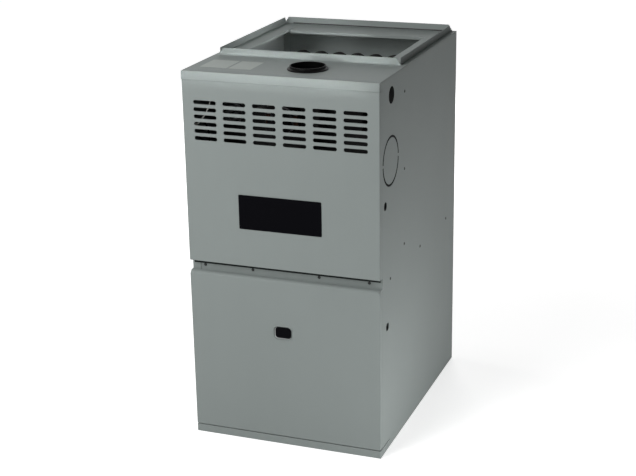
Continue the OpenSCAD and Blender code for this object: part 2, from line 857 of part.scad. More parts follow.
// Pipe that feeds the burners, with an elbow up to the gas valve
module gas_manifold() {
    elbow_x = valve_x - elbow_r;
    color(black) {
        rod_x(manifold_y, burner_z, manifold_r, -bracket_x - 10, elbow_x);
        rod_x(manifold_y, burner_z, manifold_r + 3, -bracket_x - 18, -bracket_x - 4);
        translate([elbow_x, manifold_y, burner_z + elbow_r]) rotate([90, 0, 0]) rotate([0, 0, -90])
            rotate_extrude(angle = 90) translate([elbow_r, 0]) circle(manifold_r);
        translate([valve_x, manifold_y, burner_z + elbow_r])
            cylinder(h = valve_low - burner_z - elbow_r - port_rise - fit, r = manifold_r);
    }
}

// Brass jets between the manifold and the burners
module burner_orifices() {
    color("goldenrod") for (i = [1:tubes]) difference() {
        translate([tube_x(i), manifold_y + manifold_r - 1.5, burner_z]) rotate([-90, 0, 0]) {
            cylinder(h = 8, r = orifice_r, $fn = 6);
            cylinder(h = orifice_end - manifold_y - manifold_r + 1.5, r1 = 4.5, r2 = 3.5);
        }
        rod_x(manifold_y, burner_z, manifold_r + 0.05, tube_x(i) - 10, tube_x(i) + 10);
    }
}

module gas_valve() {
    y0 = valve_face;
    y1 = manifold_y + valve_d / 2;
    x0 = valve_x - valve_w / 2;
    x1 = valve_x + valve_w / 2;
    color(aluminised) difference() {
        union() {
            span([x0, y0, valve_low], [x1, y1, valve_high]);
            span([x0 + 4, y0 + 8, valve_high - eps], [x0 + 20, y1 - 8, valve_high + 9]);
            for (z = [valve_low - port_rise, valve_high - eps])
                translate(z > valve_low ? [inlet_x, gas_hole[0], z] : [valve_x, manifold_y, z])
                    cylinder(h = port_rise + eps, r = port_r + port_wall);
            // Regulator tower and the stem of the knob
            rod_y(valve_x - 16, valve_low + 24, 9, y0 - 8, y0 + eps);
            rod_y(knob_x, knob_z, stem_r, y0 - stem_l, y0 + eps);
        }
        translate([inlet_x, gas_hole[0], valve_high + port_rise - port_depth])
            cylinder(h = port_depth + 1, r = port_r);
        translate([valve_x, manifold_y, valve_low - port_rise - 1]) cylinder(h = 12, r = port_r - 1);
    }
}

// Manual gas cock: its rib lies along X when the gas is on
module gas_valve_knob() {
    y1 = valve_face - 0.5;
    color(black) difference() {
        union() {
            rod_y(knob_x, knob_z, knob_r, y1 - knob_l * 0.45, y1);
            span([knob_x - knob_r + 1, y1 - knob_l, knob_z - 3.5],
                [knob_x + knob_r - 1, y1 - 2, knob_z + 3.5]);
        }
        rod_y(knob_x, knob_z, stem_r + running, valve_face - stem_l - 0.4, y1 + 1);
    }
}

// Hot surface igniter at the first burner, on its clip
module igniter() {
    x = tube_x(1);
    z = burner_z + tube_r + 7;
    color("ivory") {
        span([x - 8, vest_y - 15, z], [x + 8, vest_y - 6, z + 26]);
        for (s = [-1, 1]) rod_z(x + s * 3, vest_y - 6.5, 1.2, z - 14, z + 2);
        span([x - 11, vest_y - 6 - eps, z + 4], [x + 11, vest_y - fit, z + 22]);
    }
}

// Upright rod
module rod_z(x, y, r, z0, z1) {
    translate([x, y, z0]) cylinder(h = z1 - z0, r = r);
}

// Flame sensor rod at the last burner, in its insulator
module flame_sensor() {
    x = tube_x(tubes);
    z = burner_z + tube_r + 7;
    color("ivory") {
        rod_z(x, vest_y - 6, 4.5, z, z + 26);
        rod_z(x, vest_y - 6, 1.4, z - 16, z + 2);
        rod_z(x, vest_y - 6, 1.8, z + 25, z + 34);
        span([x - 9, vest_y - 6, z + 6], [x + 9, vest_y - fit, z + 16]);
    }
}

// Places of the snap disc switches on the vestibule panel, as [x, z]
thermal_places = [
    [tube_x(1) + 50, burner_z + 88], [tube_x(tubes) - 50, burner_z + 88], [-side_x + 60, burner_z + 150]
];

// Two flame rollout switches and the high limit
module thermal_switches() {
    y1 = vest_y - fit;
    color(black) for (p = thermal_places) {
        span([p[0] - 17, y1 - 1.2, p[1] - 8], [p[0] + 17, y1, p[1] + 8]);
        rod_y(p[0], p[1], 10, y1 - 12, y1 - 1);
        for (s = [-1, 1])
            span([p[0] + s * 5 - 3, y1 - 20, p[1] - 0.4], [p[0] + s * 5 + 3, y1 - 11, p[1] + 0.4]);
    }
}

ps_x = -side_x + 58;
ps_z = cab_h - 150;
ps_front = vest_y - fit - 32;

// Air pressure switch that proves the draft, on its bracket
module pressure_switch() {
    y1 = vest_y - fit;
    color("dimgray") {
        span([ps_x - 22, y1 - 9, ps_z - 22], [ps_x + 22, y1, ps_z + 22]);
        rod_y(ps_x, ps_z, 32, y1 - 22, y1 - 9 + eps);
        rod_y(ps_x, ps_z, 26, ps_front, y1 - 22 + eps);
        rod_y(ps_x + 14, ps_z + 8, 2.8, ps_front - 10, ps_front + eps);
    }
}

// Route of the hose from the pressure switch to the tap on the inducer
hose_start = [ps_x + 14, ps_front - 10.2, ps_z + 8];
hose_end = [ind_x - tap_x, ind_front - 9.2, ind_z + tap_z];
hose_route = [
    hose_start, hose_start + [0, -14, 0], hose_start + [6, -40, -3], hose_start + [34, -66, -10],
    hose_end + [-58, -24, -26], hose_end + [-18, -27, -4], hose_end + [0, -14, 0], hose_end
];

module pressure_hose() {
    color("darkred") hose(hose_route, 3.5, 10, 4);
}

// Grommet where the wires pass the deck, and the top of it
grommet = [-side_x + 48, vest_y - 54, deck_h + 4];
// Wire that bows forward to the louvres on its way down
bow = [-side_x + 60, front + 46, cab_h - 80];
bow_start = [ps_x - 12, ps_front - fit, ps_z + 8];
bow_route = [
    bow_start, bow_start + [0, -12, 0], bow_start + [6, -50, 46], bow + [6, 20, 30], bow + [1, 2, 8],
    bow + [-5, -1, -22], bow + [-15, 0, -44], bow + [-29, 3, -64], bow + [-38, 19, -98],
    bow + [-40, 48, -150], grommet + [-10, -12, 200], grommet + [-8, -1, 120], grommet + [-8, 0, 50],
    grommet + [-8, 0, 12], grommet + [-8, 0, 0]
];
// Wires of the limit switch, and one of a rollout switch
limit_tip = [thermal_places[2][0], vest_y - fit - 20.2, thermal_places[2][1]];
rollout_tip = [thermal_places[0][0] - 5, vest_y - fit - 20.2, thermal_places[0][1]];
limit_routes = [for (s = [-1, 1]) [
    limit_tip + [5 * s, 0, 0], limit_tip + [5 * s, -12, 0], limit_tip + [4 * s - 3, -24, -16],
    grommet + [3 * s, 2, 180], grommet + [2.5 * s, 0, 110], grommet + [2.5 * s, 0, 40],
    grommet + [2.5 * s, 0, 12], grommet + [2.5 * s, 0, 0]
]];
rollout_route = [
    rollout_tip, rollout_tip + [0, -12, 0], rollout_tip + [-20, -24, -10], rollout_tip + [-64, -31, -20],
    grommet + [34, 0, 150], grommet + [12, 0, 118], grommet + [8, 0, 70], grommet + [8, 0, 12],
    grommet + [8, 0, 0]
];

// Wires of the burner compartment, down to their grommet in the deck
module wire_harness() {
    color("white") {
        rod_z(grommet[0], grommet[1], 15, deck_h + fit, grommet[2]);
        hose(bow_route, 1.6, 8, 3);
        for (r = limit_routes) hose(r, 1.6, 8, 2);
        hose(rollout_route, 1.6, 8, 2);
    }
}

// ---------------------------------------------------------------- doors

// Open pan: a face, and flanges that turn back towards the casing
module door_pan(z0, z1) {
    difference() {
        span([-side_x, door_y, z0], [side_x, door_y + door_depth, z1]);
        span([-in_x, door_y + sheet, z0 + sheet], [in_x, door_y + door_depth + 1, z1 - sheet]);
        // The top and bottom flanges are shorter than the sides
        for (z = [z0 - 1, z1 - sheet])
            span([-in_x, door_y + door_flange, z], [in_x, door_y + door_depth + 1, z + sheet + 1]);
    }
}

module burner_door() {
    x0 = -louvre_pitch_x * (louvre_cols - 1) / 2;
    z0 = cab_h - louvre_drop;
    color(steel) difference() {
        door_pan(high_door_bottom, high_door_top);
        along_y(door_y - 1, door_y + sheet + 1)
            for (i = [0:louvre_cols - 1], k = [0:louvre_rows - 1])
                translate([x0 + i * louvre_pitch_x, z0 - k * louvre_pitch_z]) slot(louvre_l, louvre_h);
    }
}

badge_x = -4;
badge_z = cab_h - 364;

// Plain plate on the upper door, without any marking
module badge_plate() {
    color(black) along_y(door_y - fit - badge_t, door_y - fit)
        translate([badge_x, badge_z]) round_rect(badge_w, badge_h, 3);
}

sight_x = -4;

module blower_door() {
    color(steel) difference() {
        door_pan(low_door_bottom, low_door_top);
        along_y(door_y - 1, door_y + sheet + 1)
            translate([sight_x, sight_z]) round_rect(sight_w + 2, sight_h + 2, 9);
    }
}

// Dark window that shows the control board's light
module sight_glass() {
    color(black) {
        along_y(door_y - 0.8, door_y + sheet + 2)
            translate([sight_x, sight_z]) round_rect(sight_w + 1.4, sight_h + 1.4, 8.7);
        along_y(door_y + sheet + fit, door_y + sheet + 2)
            translate([sight_x, sight_z]) round_rect(sight_w + 9, sight_h + 9, 11);
    }
}

// Bracket inside the lower door that presses the safety switch
module door_switch_tab() {
    y0 = door_y + sheet + fit;
    color(galvanised) {
        span([switch_x - 12, y0, switch_z - 12], [switch_x + 12, y0 + sheet, switch_z + 12]);
        span([switch_x - 7, y0, switch_z - 6], [switch_x - 6, plunger_tip - 0.3, switch_z + 6]);
        span([switch_x + 6, y0, switch_z - 6], [switch_x + 7, plunger_tip - 0.3, switch_z + 6]);
        span([switch_x - 7, plunger_tip - 0.3 - sheet, switch_z - 6],
            [switch_x + 7, plunger_tip - 0.3, switch_z + 6]);
    }
}

// ---------------------------------------------------------------- blower compartment

module door_switch() {
    color(black) difference() {
        union() {
            span([switch_x - 14, switch_front, switch_z - 14], [switch_x + 14, switch_back, switch_z + 14]);
            span([switch_x - 22, switch_front - 1.5, switch_z - 12],
                [switch_x + 22, switch_front + eps, switch_z + 12]);
        }
        rod_y(switch_x, switch_z, plunger_r + running, switch_front - 3, switch_front + 14);
    }
}

module door_switch_plunger() {
    color("ivory") {
        rod_y(switch_x, switch_z, plunger_r, plunger_tip, switch_front + 12);
    }
}

// Outline of the blower's scroll as [y, z], from its spiral and its outlet
module scroll_outline() {
    translate([wheel_y, wheel_z]) polygon(concat(
        spiral(scroll_r0, scroll_r1, cut_a, -180, 48),
        [[-scroll_r1, outlet_h], [cut_u, outlet_h]]
    ));
}

// Sheet wrapped round the scroll, with flanges under the deck
module blower_scroll() {
    steps = 48;
    outer = concat(
        [[cut_u, outlet_h]], spiral(scroll_r0, scroll_r1, cut_a, -180, steps), [[-scroll_r1, outlet_h]]
    );
    inner = spiral(scroll_r1 - wrap, scroll_r0 - wrap, -180, cut_a, steps);
    inner_path = concat(
        [[-scroll_r1 + wrap, outlet_h]], [for (i = [0:steps - 1]) inner[i]],
        [[cut_u - wrap, scroll_r0 * sin(cut_a)], [cut_u - wrap, outlet_h]]
    );
    color(galvanised) {
        along_x(-scroll_half + fit, scroll_half - fit) translate([wheel_y, wheel_z])
            polygon(concat(outer, inner_path));
        span([-scroll_half + fit, wheel_y - scroll_r1 - scroll_flange, deck_under - sheet],
            [scroll_half - fit, wheel_y - scroll_r1 + eps, deck_under]);
        span([-scroll_half + fit, wheel_y + cut_u - eps, deck_under - sheet],
            [scroll_half - fit, wheel_y + cut_u + scroll_flange, deck_under]);
    }
}

// Side plate on the right, with its rolled inlet ring and top flange
module blower_side() {
    lip = 9;
    color(galvanised) {
        difference() {
            along_x(scroll_half, scroll_half + sheet) scroll_outline();
            rod_x(wheel_y, wheel_z, inlet_r + 4, scroll_half - 1, scroll_half + sheet + 1);
        }
        translate([scroll_half, wheel_y, wheel_z]) rotate([0, 90, 0]) rotate_extrude($fn = 96) polygon([
            [inlet_r + 6, 0], [inlet_r + 6, sheet], [inlet_r + 2, sheet + 2], [inlet_r, sheet],
            [inlet_r - 3, -lip], [inlet_r - 2, -lip], [inlet_r + 1.2, 0]
        ]);
        span([scroll_half, wheel_y - scroll_r1, deck_under - sheet],
            [scroll_half + scroll_flange, wheel_y + cut_u, deck_under]);
    }
}

module blower_side_right() {
    blower_side();
}

module blower_side_left() {
    mirror([1, 0, 0]) blower_side();
}

// Centre plate of the squirrel cage wheel, with its hub
module blower_wheel_plate() {
    hub_r = 22;
    color(galvanised) difference() {
        union() {
            rod_x(wheel_y, wheel_z, wheel_r - 1, -plate_half, plate_half, $fn = 96);
            rod_x(wheel_y, wheel_z, hub_r, -14, 22);
        }
        rod_x(wheel_y, wheel_z, shaft_r + running, -15, 23);
    }
}

// One half of the wheel's cage: its blades, and the ring at their outer ends
module blower_wheel_cage() {
    long = wheel_w / 2 - plate_half - fit;
    color(galvanised) translate([plate_half + fit, wheel_y, wheel_z]) rotate([0, 90, 0]) {
        linear_extrude(long) for (i = [0:blades - 1])
            rotate(360 * i / blades) translate([wheel_r - blade_d + 1, 0]) rotate(22)
                square([blade_d - 3, 1]);
        translate([0, 0, long - 1.5]) linear_extrude(1.5) difference() {
            circle(wheel_r, $fn = 96);
            circle(wheel_r - blade_d, $fn = 96);
        }
    }
}

module blower_wheel_right() {
    blower_wheel_cage();
}

module blower_wheel_left() {
    mirror([1, 0, 0]) blower_wheel_cage();
}

module blower_shaft() {
    color(galvanised) rod_x(wheel_y, wheel_z, shaft_r, -22, motor_out + 12);
}

module blower_motor() {
    color(black) translate([motor_in, wheel_y, wheel_z]) rotate([0, 90, 0]) difference() {
        union() {
            translate([0, 0, 8]) cylinder(h = motor_l - 16, r = motor_r, $fn = 96);
            cylinder(h = motor_l, r = motor_r * 0.8, $fn = 96);
            translate([0, 0, -4]) cylinder(h = motor_l + 8, r = 18);
        }
        translate([0, 0, -10]) cylinder(h = motor_l + 20, r = shaft_r + running);
    }
}

// Band round the motor on three arms that reach the side plate
module motor_bracket() {
    x0 = scroll_half + sheet + 4;
    r0 = motor_r + fit;
    reach = inlet_r + 14;
    color(galvanised) translate([0, wheel_y, wheel_z]) {
        difference() {
            rod_x(0, 0, r0 + band_t, x0, x0 + band_w);
            rod_x(0, 0, r0, x0 - 1, x0 + band_w + 1);
        }
        for (a = arm_a) rotate([a, 0, 0]) {
            span([x0, r0 + band_t / 2, -9], [x0 + 3, reach, 9]);
            span([scroll_half + sheet + fit + 2, inlet_r + 8, -9], [x0 + 3, reach, 9]);
            span([scroll_half + sheet + fit, inlet_r + 8, -9],
                [scroll_half + sheet + fit + 2.5, reach + 8, 9]);
        }
    }
}

// Motor run capacitor in its strap, on the control plate
module capacitor() {
    z = board_high + 34;
    color(galvanised) {
        rod_x(plate_y - fit - 19, z, 18, plate_x0 + 10, plate_x0 + 84);
        rod_x(plate_y - fit - 19, z, 19, plate_x0 + 38, plate_x0 + 52);
        for (s = [-1, 1])
            span([plate_x0 + 80, plate_y - 20.5 + s * 7, z - 3],
                [plate_x0 + 94, plate_y - 19.7 + s * 7, z + 3]);
    }
}

// Plate under the deck that carries the controls
module control_plate() {
    color(galvanised) {
        span([plate_x0, plate_y, plate_low], [plate_x1, plate_y + sheet, deck_under]);
        span([plate_x0, plate_y - 16, deck_under - sheet], [plate_x1, plate_y + sheet / 2, deck_under]);
        for (x = [plate_x0, plate_x1 - sheet])
            span([x, plate_y, plate_low], [x + sheet, plate_y + 14, deck_under - 20]);
    }
}

// Ignition and blower control board on four posts
module control_board() {
    y1 = board_y;
    y0 = y1 - 1.6;
    color("darkgreen") {
        span([board_x0, y0, board_low], [board_x1, y1, board_high]);
        for (x = [board_x0 + 6, board_x1 - 6], z = [board_low + 6, board_high - 6])
            rod_y(x, z, 3, y1 - eps, plate_y - fit);
        // Relays, terminal strip, connectors and the status light
        for (x = [board_x0 + 14, board_x0 + 42])
            span([x, y0 - 16, board_high - 40], [x + 20, y0 + eps, board_high - 12]);
        span([board_x0 + 74, y0 - 14, board_high - 34], [board_x0 + 112, y0 + eps, board_high - 14]);
        span([board_x0 + 12, y0 - 9, board_low + 10], [board_x0 + 70, y0 + eps, board_low + 20]);
        span([board_x0 + 10, y0 - 12, board_low + 34], [board_x0 + 34, y0 + eps, board_low + 66]);
        rod_y(board_x0 + 56, board_low + 54, 8, y0 - 14, y0 + eps);
        rod_y(sight_x, sight_z, 2.6, y0 - 6, y0 + eps);
    }
}

// Low voltage transformer on the control plate
module transformer() {
    x = plate_x1 - 44;
    z = board_high + 34;
    y1 = plate_y - fit;
    color(black) {
        span([x - 34, y1 - 1.5, z - 18], [x + 34, y1, z + 18]);
        span([x - 25, y1 - 40, z - 21], [x + 25, y1 - 1.5 + eps, z + 21]);
        for (s = [-1, 1]) span([x + s * 20 - 10, y1 - 33, z - 28], [x + s * 20 + 10, y1 - 9, z + 28]);
    }
}

// Box behind the line voltage hole, open towards the side panel
module junction_box() {
    x1 = in_x - fit;
    y0 = frame_y + sheet + 3;
    y1 = line_hole[0] + 36;
    z0 = line_hole[1] - 44;
    z1 = line_hole[1] + 44;
    color(galvanised) difference() {
        span([x1 - jbox_w, y0, z0], [x1, y1, z1]);
        span([x1 - jbox_w + sheet, y0 + sheet, z0 + sheet], [x1 + 1, y1 - sheet, z1 - sheet]);
    }
}

left_side_panel();
right_side_panel();
back_panel();
casing_screws();
top_cap();
supply_flanges();
base_pan();
base_front_rail();
centre_rail();
blower_deck();
vestibule_panel();
vent_collar();
for (i = [1:tubes]) {
    heat_exchanger_tube(i);
    burner(i);
}
flue_collector_box();
inducer_housing();
inducer_motor();
inducer_shaft();
inducer_wheel();
inducer_cooling_fan();
union() {
    gas_manifold();
    burner_orifices();
}
burner_bracket();
gas_valve();
gas_valve_knob();
union() {  // igniter_and_flame_sensor
    igniter();
    flame_sensor();
}
thermal_switches();
pressure_switch();
pressure_hose();
wire_harness();
burner_door();
badge_plate();
blower_door();
sight_glass();
door_switch_tab();
door_switch();
door_switch_plunger();
blower_scroll();
blower_side_left();
blower_side_right();
blower_wheel_plate();
blower_wheel_left();
blower_wheel_right();
blower_shaft();
blower_motor();
motor_bracket();
capacitor();
control_board();
control_plate();
transformer();
junction_box();
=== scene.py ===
"""Studio scene of an upflow forced air gas furnace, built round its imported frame.

Each sub-assembly is a class with its sizes in millimetres and methods that build its
pieces. Pieces are shaped with bmesh operators in the row's frame and dressed with finishes
whose patterns read object coordinates.
"""

import logging
import math
import random
from dataclasses import dataclass
from enum import Enum
from typing import Callable, Iterable, Optional, Sequence, Union

import bmesh
import bpy
from mathutils import Matrix, Vector


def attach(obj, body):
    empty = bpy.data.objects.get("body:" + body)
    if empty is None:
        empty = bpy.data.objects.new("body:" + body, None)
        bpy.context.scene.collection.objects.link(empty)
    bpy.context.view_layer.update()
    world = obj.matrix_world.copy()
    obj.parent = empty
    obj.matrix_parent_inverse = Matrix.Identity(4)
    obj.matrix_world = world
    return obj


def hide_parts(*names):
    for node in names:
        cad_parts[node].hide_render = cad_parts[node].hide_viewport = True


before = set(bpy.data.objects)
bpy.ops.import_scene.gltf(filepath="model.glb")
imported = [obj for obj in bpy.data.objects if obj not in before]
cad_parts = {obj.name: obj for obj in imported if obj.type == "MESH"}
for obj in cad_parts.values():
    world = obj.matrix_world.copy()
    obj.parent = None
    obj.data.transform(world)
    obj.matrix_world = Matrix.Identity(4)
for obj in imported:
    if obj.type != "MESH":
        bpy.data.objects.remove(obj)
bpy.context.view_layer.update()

log = logging.getLogger("furnace")

MM = 0.001
NEAR = 0.02
SHARP = math.radians(32)
TURN = 2 * math.pi

Pair = tuple[float, float]
Triple = tuple[float, float, float]
Colour = Triple
Point = Sequence[float]
Picker = Callable[[Vector], bool]


class Axis(Enum):
    """The row's axes, as unit vectors."""

    X = (1.0, 0.0, 0.0)
    Y = (0.0, 1.0, 0.0)
    Z = (0.0, 0.0, 1.0)

    @property
    def vector(self) -> Vector:
        """The axis as a vector."""
        return Vector(self.value)

    def upright(self) -> Matrix:
        """The turn that takes +Z to this axis."""
        return Vector((0, 0, 1)).rotation_difference(self.vector).to_matrix().to_4x4()


# --- shader maths ---


class Value:
    """A shader socket that takes part in Python arithmetic."""

    def __init__(self, shader: "Shader", socket: bpy.types.NodeSocket) -> None:
        """Wraps one output socket of a shader's tree."""
        self.shader = shader
        self.socket = socket

    def _math(self, operation: str, left: "Operand", right: "Operand") -> "Value":
        """One Math node on two operands."""
        return self.shader.node("ShaderNodeMath", {"operation": operation}, {0: left, 1: right})

    def __add__(self, other: "Operand") -> "Value":
        """self + other."""
        return self._math("ADD", self, other)

    __radd__ = __add__

    def __sub__(self, other: "Operand") -> "Value":
        """self - other."""
        return self._math("SUBTRACT", self, other)

    def __rsub__(self, other: "Operand") -> "Value":
        """other - self."""
        return self._math("SUBTRACT", other, self)

    def __mul__(self, other: "Operand") -> "Value":
        """self * other."""
        return self._math("MULTIPLY", self, other)

    __rmul__ = __mul__

    def __pow__(self, other: "Operand") -> "Value":
        """self ** other."""
        return self._math("POWER", self, other)

    def step(self, low: float, high: float) -> "Value":
        """Rises smoothly from 0 at low to 1 at high."""
        return self.shader.node(
            "ShaderNodeMapRange",
            {"interpolation_type": "SMOOTHSTEP"},
            {"Value": self, "From Min": low, "From Max": high},
        )


Operand = Union[Value, float]


class Shader:
    """A material's node tree with one principled shader."""

    def __init__(self, name: str) -> None:
        """Makes an empty material of that name with its output wired up."""
        self.material = bpy.data.materials.new(name)
        self.material.use_nodes = True
        self.tree = self.material.node_tree
        self.tree.nodes.clear()
        self.surface = self.tree.nodes.new("ShaderNodeBsdfPrincipled")
        output = self.tree.nodes.new("ShaderNodeOutputMaterial")
        self.tree.links.new(self.surface.outputs[0], output.inputs["Surface"])

    def node(
        self,
        kind: str,
        settings: Optional[dict] = None,
        inputs: Optional[dict] = None,
        output: Union[int, str] = 0,
    ) -> Value:
        """Adds a node.

        Args:
            kind: the node's type.
            settings: its own properties.
            inputs: values or links by socket name or index.
            output: the socket that is returned.

        Returns:
            The chosen output.
        """
        made = self.tree.nodes.new(kind)
        for key, value in (settings or {}).items():
            setattr(made, key, value)
        for key, value in (inputs or {}).items():
            self._feed(made.inputs[key], value)
        return Value(self, made.outputs[output])

    def _feed(self, socket: bpy.types.NodeSocket, value: object) -> None:
        """Links or sets one input socket."""
        if isinstance(value, Value):
            self.tree.links.new(value.socket, socket)
        elif isinstance(value, tuple) and len(value) == 3 and socket.type == "RGBA":
            socket.default_value = (*value, 1.0)
        else:
            socket.default_value = value

    def put(self, **inputs: object) -> None:
        """Sets the principled shader's sockets; Base_Color stands for Base Color."""
        for key, value in inputs.items():
            self._feed(self.surface.inputs[key.replace("_", " ")], value)

    def place(self, stretch: Point = (1, 1, 1), turn: Point = (0, 0, 0)) -> Value:
        """Object coordinates, scaled and turned."""
        where = self.node("ShaderNodeTexCoord", output="Object")
        return self.node("ShaderNodeMapping", inputs={"Vector": where, "Scale": stretch, "Rotation": turn})

    def noise(
        self, scale: float, detail: float = 3.0, stretch: Point = (1, 1, 1), rough: float = 0.5
    ) -> Value:
        """Noise with about scale features a metre."""
        return self.node(
            "ShaderNodeTexNoise",
            inputs={"Vector": self.place(stretch), "Scale": scale, "Detail": detail, "Roughness": rough},
        )

    def cells(self, scale: float, stretch: Point = (1, 1, 1)) -> Value:
        """A flat random shade for each crystal of about 1 / scale metres."""
        sockets = {"Vector": self.place(stretch), "Scale": scale}
        colour = self.node("ShaderNodeTexVoronoi", inputs=sockets, output="Color")
        return self.node("ShaderNodeSeparateColor", inputs={0: colour})

    def mix(self, share: Operand, first: object, second: object) -> Value:
        """Blends two colours."""
        return self.node("ShaderNodeMix", {"data_type": "RGBA"}, {0: share, 6: first, 7: second}, 2)

    def relief(self, height: Value, depth: float) -> Value:
        """A normal from a height of 0 to 1, which is depth metres deep."""
        return self.node("ShaderNodeBump", inputs={"Height": height, "Distance": depth, "Strength": 1.0})


def tint(colour: Colour, by: float) -> Colour:
    """A colour made lighter or darker by a factor."""
    return tuple(min(c * by, 1.0) for c in colour)


# --- finishes ---


@dataclass(frozen=True)
class Finish:
    """A finish with a name; a subclass paints it into a shader."""

    name: str

    def paint(self, shader: Shader) -> None:
        """Wires the finish up."""
        raise NotImplementedError

    def material(self) -> bpy.types.Material:
        """The finish's material, made once."""
        known = bpy.data.materials.get(self.name)
        if known is not None:
            return known
        shader = Shader(self.name)
        self.paint(shader)
        return shader.material


@dataclass(frozen=True)
class BakedEnamel(Finish):
    """Sprayed and baked paint on sheet steel, with a faint orange peel and handling marks."""

    colour: Colour
    gloss: float = 0.40
    peel: float = 0.00003
    mottle: float = 0.05
    shine: float = 0.12

    def paint(self, shader: Shader) -> None:
        """Wires the finish up."""
        cloud = shader.noise(3.5, 2.0)
        streak = shader.noise(26.0, 4.0, (1.0, 1.0, 0.12))
        grain = shader.noise(900.0, 2.0)
        dark, pale = tint(self.colour, 1 - self.mottle), tint(self.colour, 1 + self.mottle)
        shade = shader.mix(cloud * 0.7 + streak * 0.3, dark, pale)
        dust = shader.noise(60.0, 8.0, rough=0.7).step(0.62, 0.80)
        shader.put(
            Base_Color=shader.mix(dust * 0.10, shade, tint(self.colour, 1.35)),
            Roughness=self.gloss + streak * 0.10 + grain * 0.04,
            Normal=shader.relief(grain, self.peel),
            Specular_IOR_Level=self.shine,
        )


@dataclass(frozen=True)
class Galvanised(Finish):
    """Hot dipped zinc with its spangle."""

    colour: Colour = (0.50, 0.52, 0.53)
    crystal: float = 110.0
    sheen: float = 0.38

    def paint(self, shader: Shader) -> None:
        """Wires the finish up."""
        coarse = shader.cells(self.crystal)
        fine = shader.cells(self.crystal * 2.7, (1.0, 1.0, 0.6))
        shade_rings = shader.noise(9.0, 4.0)
        spangle = coarse * 0.6 + fine * 0.4
        zinc = shader.mix(spangle, tint(self.colour, 0.72), tint(self.colour, 1.22))
        shader.put(
            Base_Color=shader.mix(shade_rings * 0.35, zinc, tint(self.colour, 0.8)),
            Metallic=0.85,
            Roughness=self.sheen + spangle * 0.16 + shade_rings * 0.08,
            Normal=shader.relief(fine, 0.00002),
        )


@dataclass(frozen=True)
class HeatedSteel(Finish):
    """Aluminised steel that firing has dulled and tinted; where its colour and scorch are near black, as on
    the tubes, they are painted shade.
    """

    colour: Colour = (0.42, 0.41, 0.39)
    scorch_and_shade: Colour = (0.13, 0.10, 0.08)
    amount: float = 0.5
    metal: float = 0.80
    shine: float = 0.15

    def paint(self, shader: Shader) -> None:
        """Wires the finish up."""
        cloud = shader.noise(11.0, 5.0)
        rolled = shader.noise(240.0, 3.0, (1.0, 0.06, 1.0))
        skin = shader.mix(rolled, tint(self.colour, 0.85), tint(self.colour, 1.12))
        shader.put(
            Base_Color=shader.mix(cloud.step(0.35, 0.75) * self.amount, skin, self.scorch_and_shade),
            Metallic=self.metal,
            Roughness=0.40 + cloud * 0.20,
            Normal=shader.relief(rolled, 0.00002),
            Specular_IOR_Level=self.shine,
        )


@dataclass(frozen=True)
class Moulded(Finish):
    """Moulded plastic, rubber or ceramic, with a grain."""

    colour: Colour
    gloss: float = 0.35
    grain: float = 700.0
    depth: float = 0.00002
    varnish: float = 0.0
    shine: float = 0.3

    def paint(self, shader: Shader) -> None:
        """Wires the finish up."""
        grit = shader.noise(self.grain, 3.0)
        cloud = shader.noise(18.0, 3.0)
        shader.put(
            Base_Color=shader.mix(cloud, tint(self.colour, 0.88), tint(self.colour, 1.12)),
            Roughness=self.gloss + grit * 0.08 + cloud * 0.05,
            Normal=shader.relief(grit, self.depth),
            Coat_Weight=self.varnish,
            Coat_Roughness=0.08,
            Specular_IOR_Level=self.shine,
        )


@dataclass(frozen=True)
class MachinedMetal(Finish):
    """Turned, ground or cast metal, with marks that run along one way."""

    colour: Colour
    marks: Point = (1.0, 1.0, 1.0)
    count: float = 500.0
    gloss: float = 0.28
    depth: float = 0.00002

    def paint(self, shader: Shader) -> None:
        """Wires the finish up."""
        lines = shader.noise(self.count, 4.0, self.marks)
        stain = shader.noise(35.0, 4.0)
        shader.put(
            Base_Color=shader.mix(lines, tint(self.colour, 0.82), tint(self.colour, 1.12)),
            Metallic=0.92,
            Roughness=self.gloss + lines * 0.12 + stain * 0.12,
            Normal=shader.relief(lines, self.depth),
        )


@dataclass(frozen=True)
class StackedCore(Finish):
    """Edges of a motor's or transformer's laminations."""

    colour: Colour = (0.09, 0.09, 0.095)
    sheets: float = 900.0
    along: Axis = Axis.Y

    def paint(self, shader: Shader) -> None:
        """Wires the finish up."""
        waves = shader.node(
            "ShaderNodeTexWave",
            {"wave_type": "BANDS", "bands_direction": self.along.name, "wave_profile": "SIN"},
            {"Vector": shader.place(), "Scale": self.sheets / TURN, "Distortion": 0.2},
            "Fac",
        )
        oil = shader.noise(40.0, 4.0)
        shader.put(
            Base_Color=shader.mix(waves * 0.7 + oil * 0.3, tint(self.colour, 0.5), tint(self.colour, 1.3)),
            Metallic=0.7,
            Roughness=0.38 + oil * 0.15,
            Normal=shader.relief(waves, 0.0001),
        )


@dataclass(frozen=True)
class BoardLacquer(Finish):
    """A circuit board's lacquer over its copper tracks."""

    lacquer: Colour = (0.015, 0.11, 0.045)
    track: Colour = (0.05, 0.24, 0.10)

    def paint(self, shader: Shader) -> None:
        """Wires the finish up."""
        rows = shader.node(
            "ShaderNodeTexBrick",
            {"offset": 0.37, "squash": 1.6, "squash_frequency": 3},
            {
                "Vector": shader.place(turn=(math.pi / 2, 0, 0)),
                "Scale": 60.0,
                "Mortar Size": 0.012,
                "Brick Width": 0.9,
                "Row Height": 0.22,
            },
            "Fac",
        )
        shader.put(
            Base_Color=shader.mix(rows, self.lacquer, self.track),
            Roughness=0.30 + rows * 0.10,
            Normal=shader.relief(rows, 0.00004),
            Coat_Weight=0.5,
            Coat_Roughness=0.12,
        )


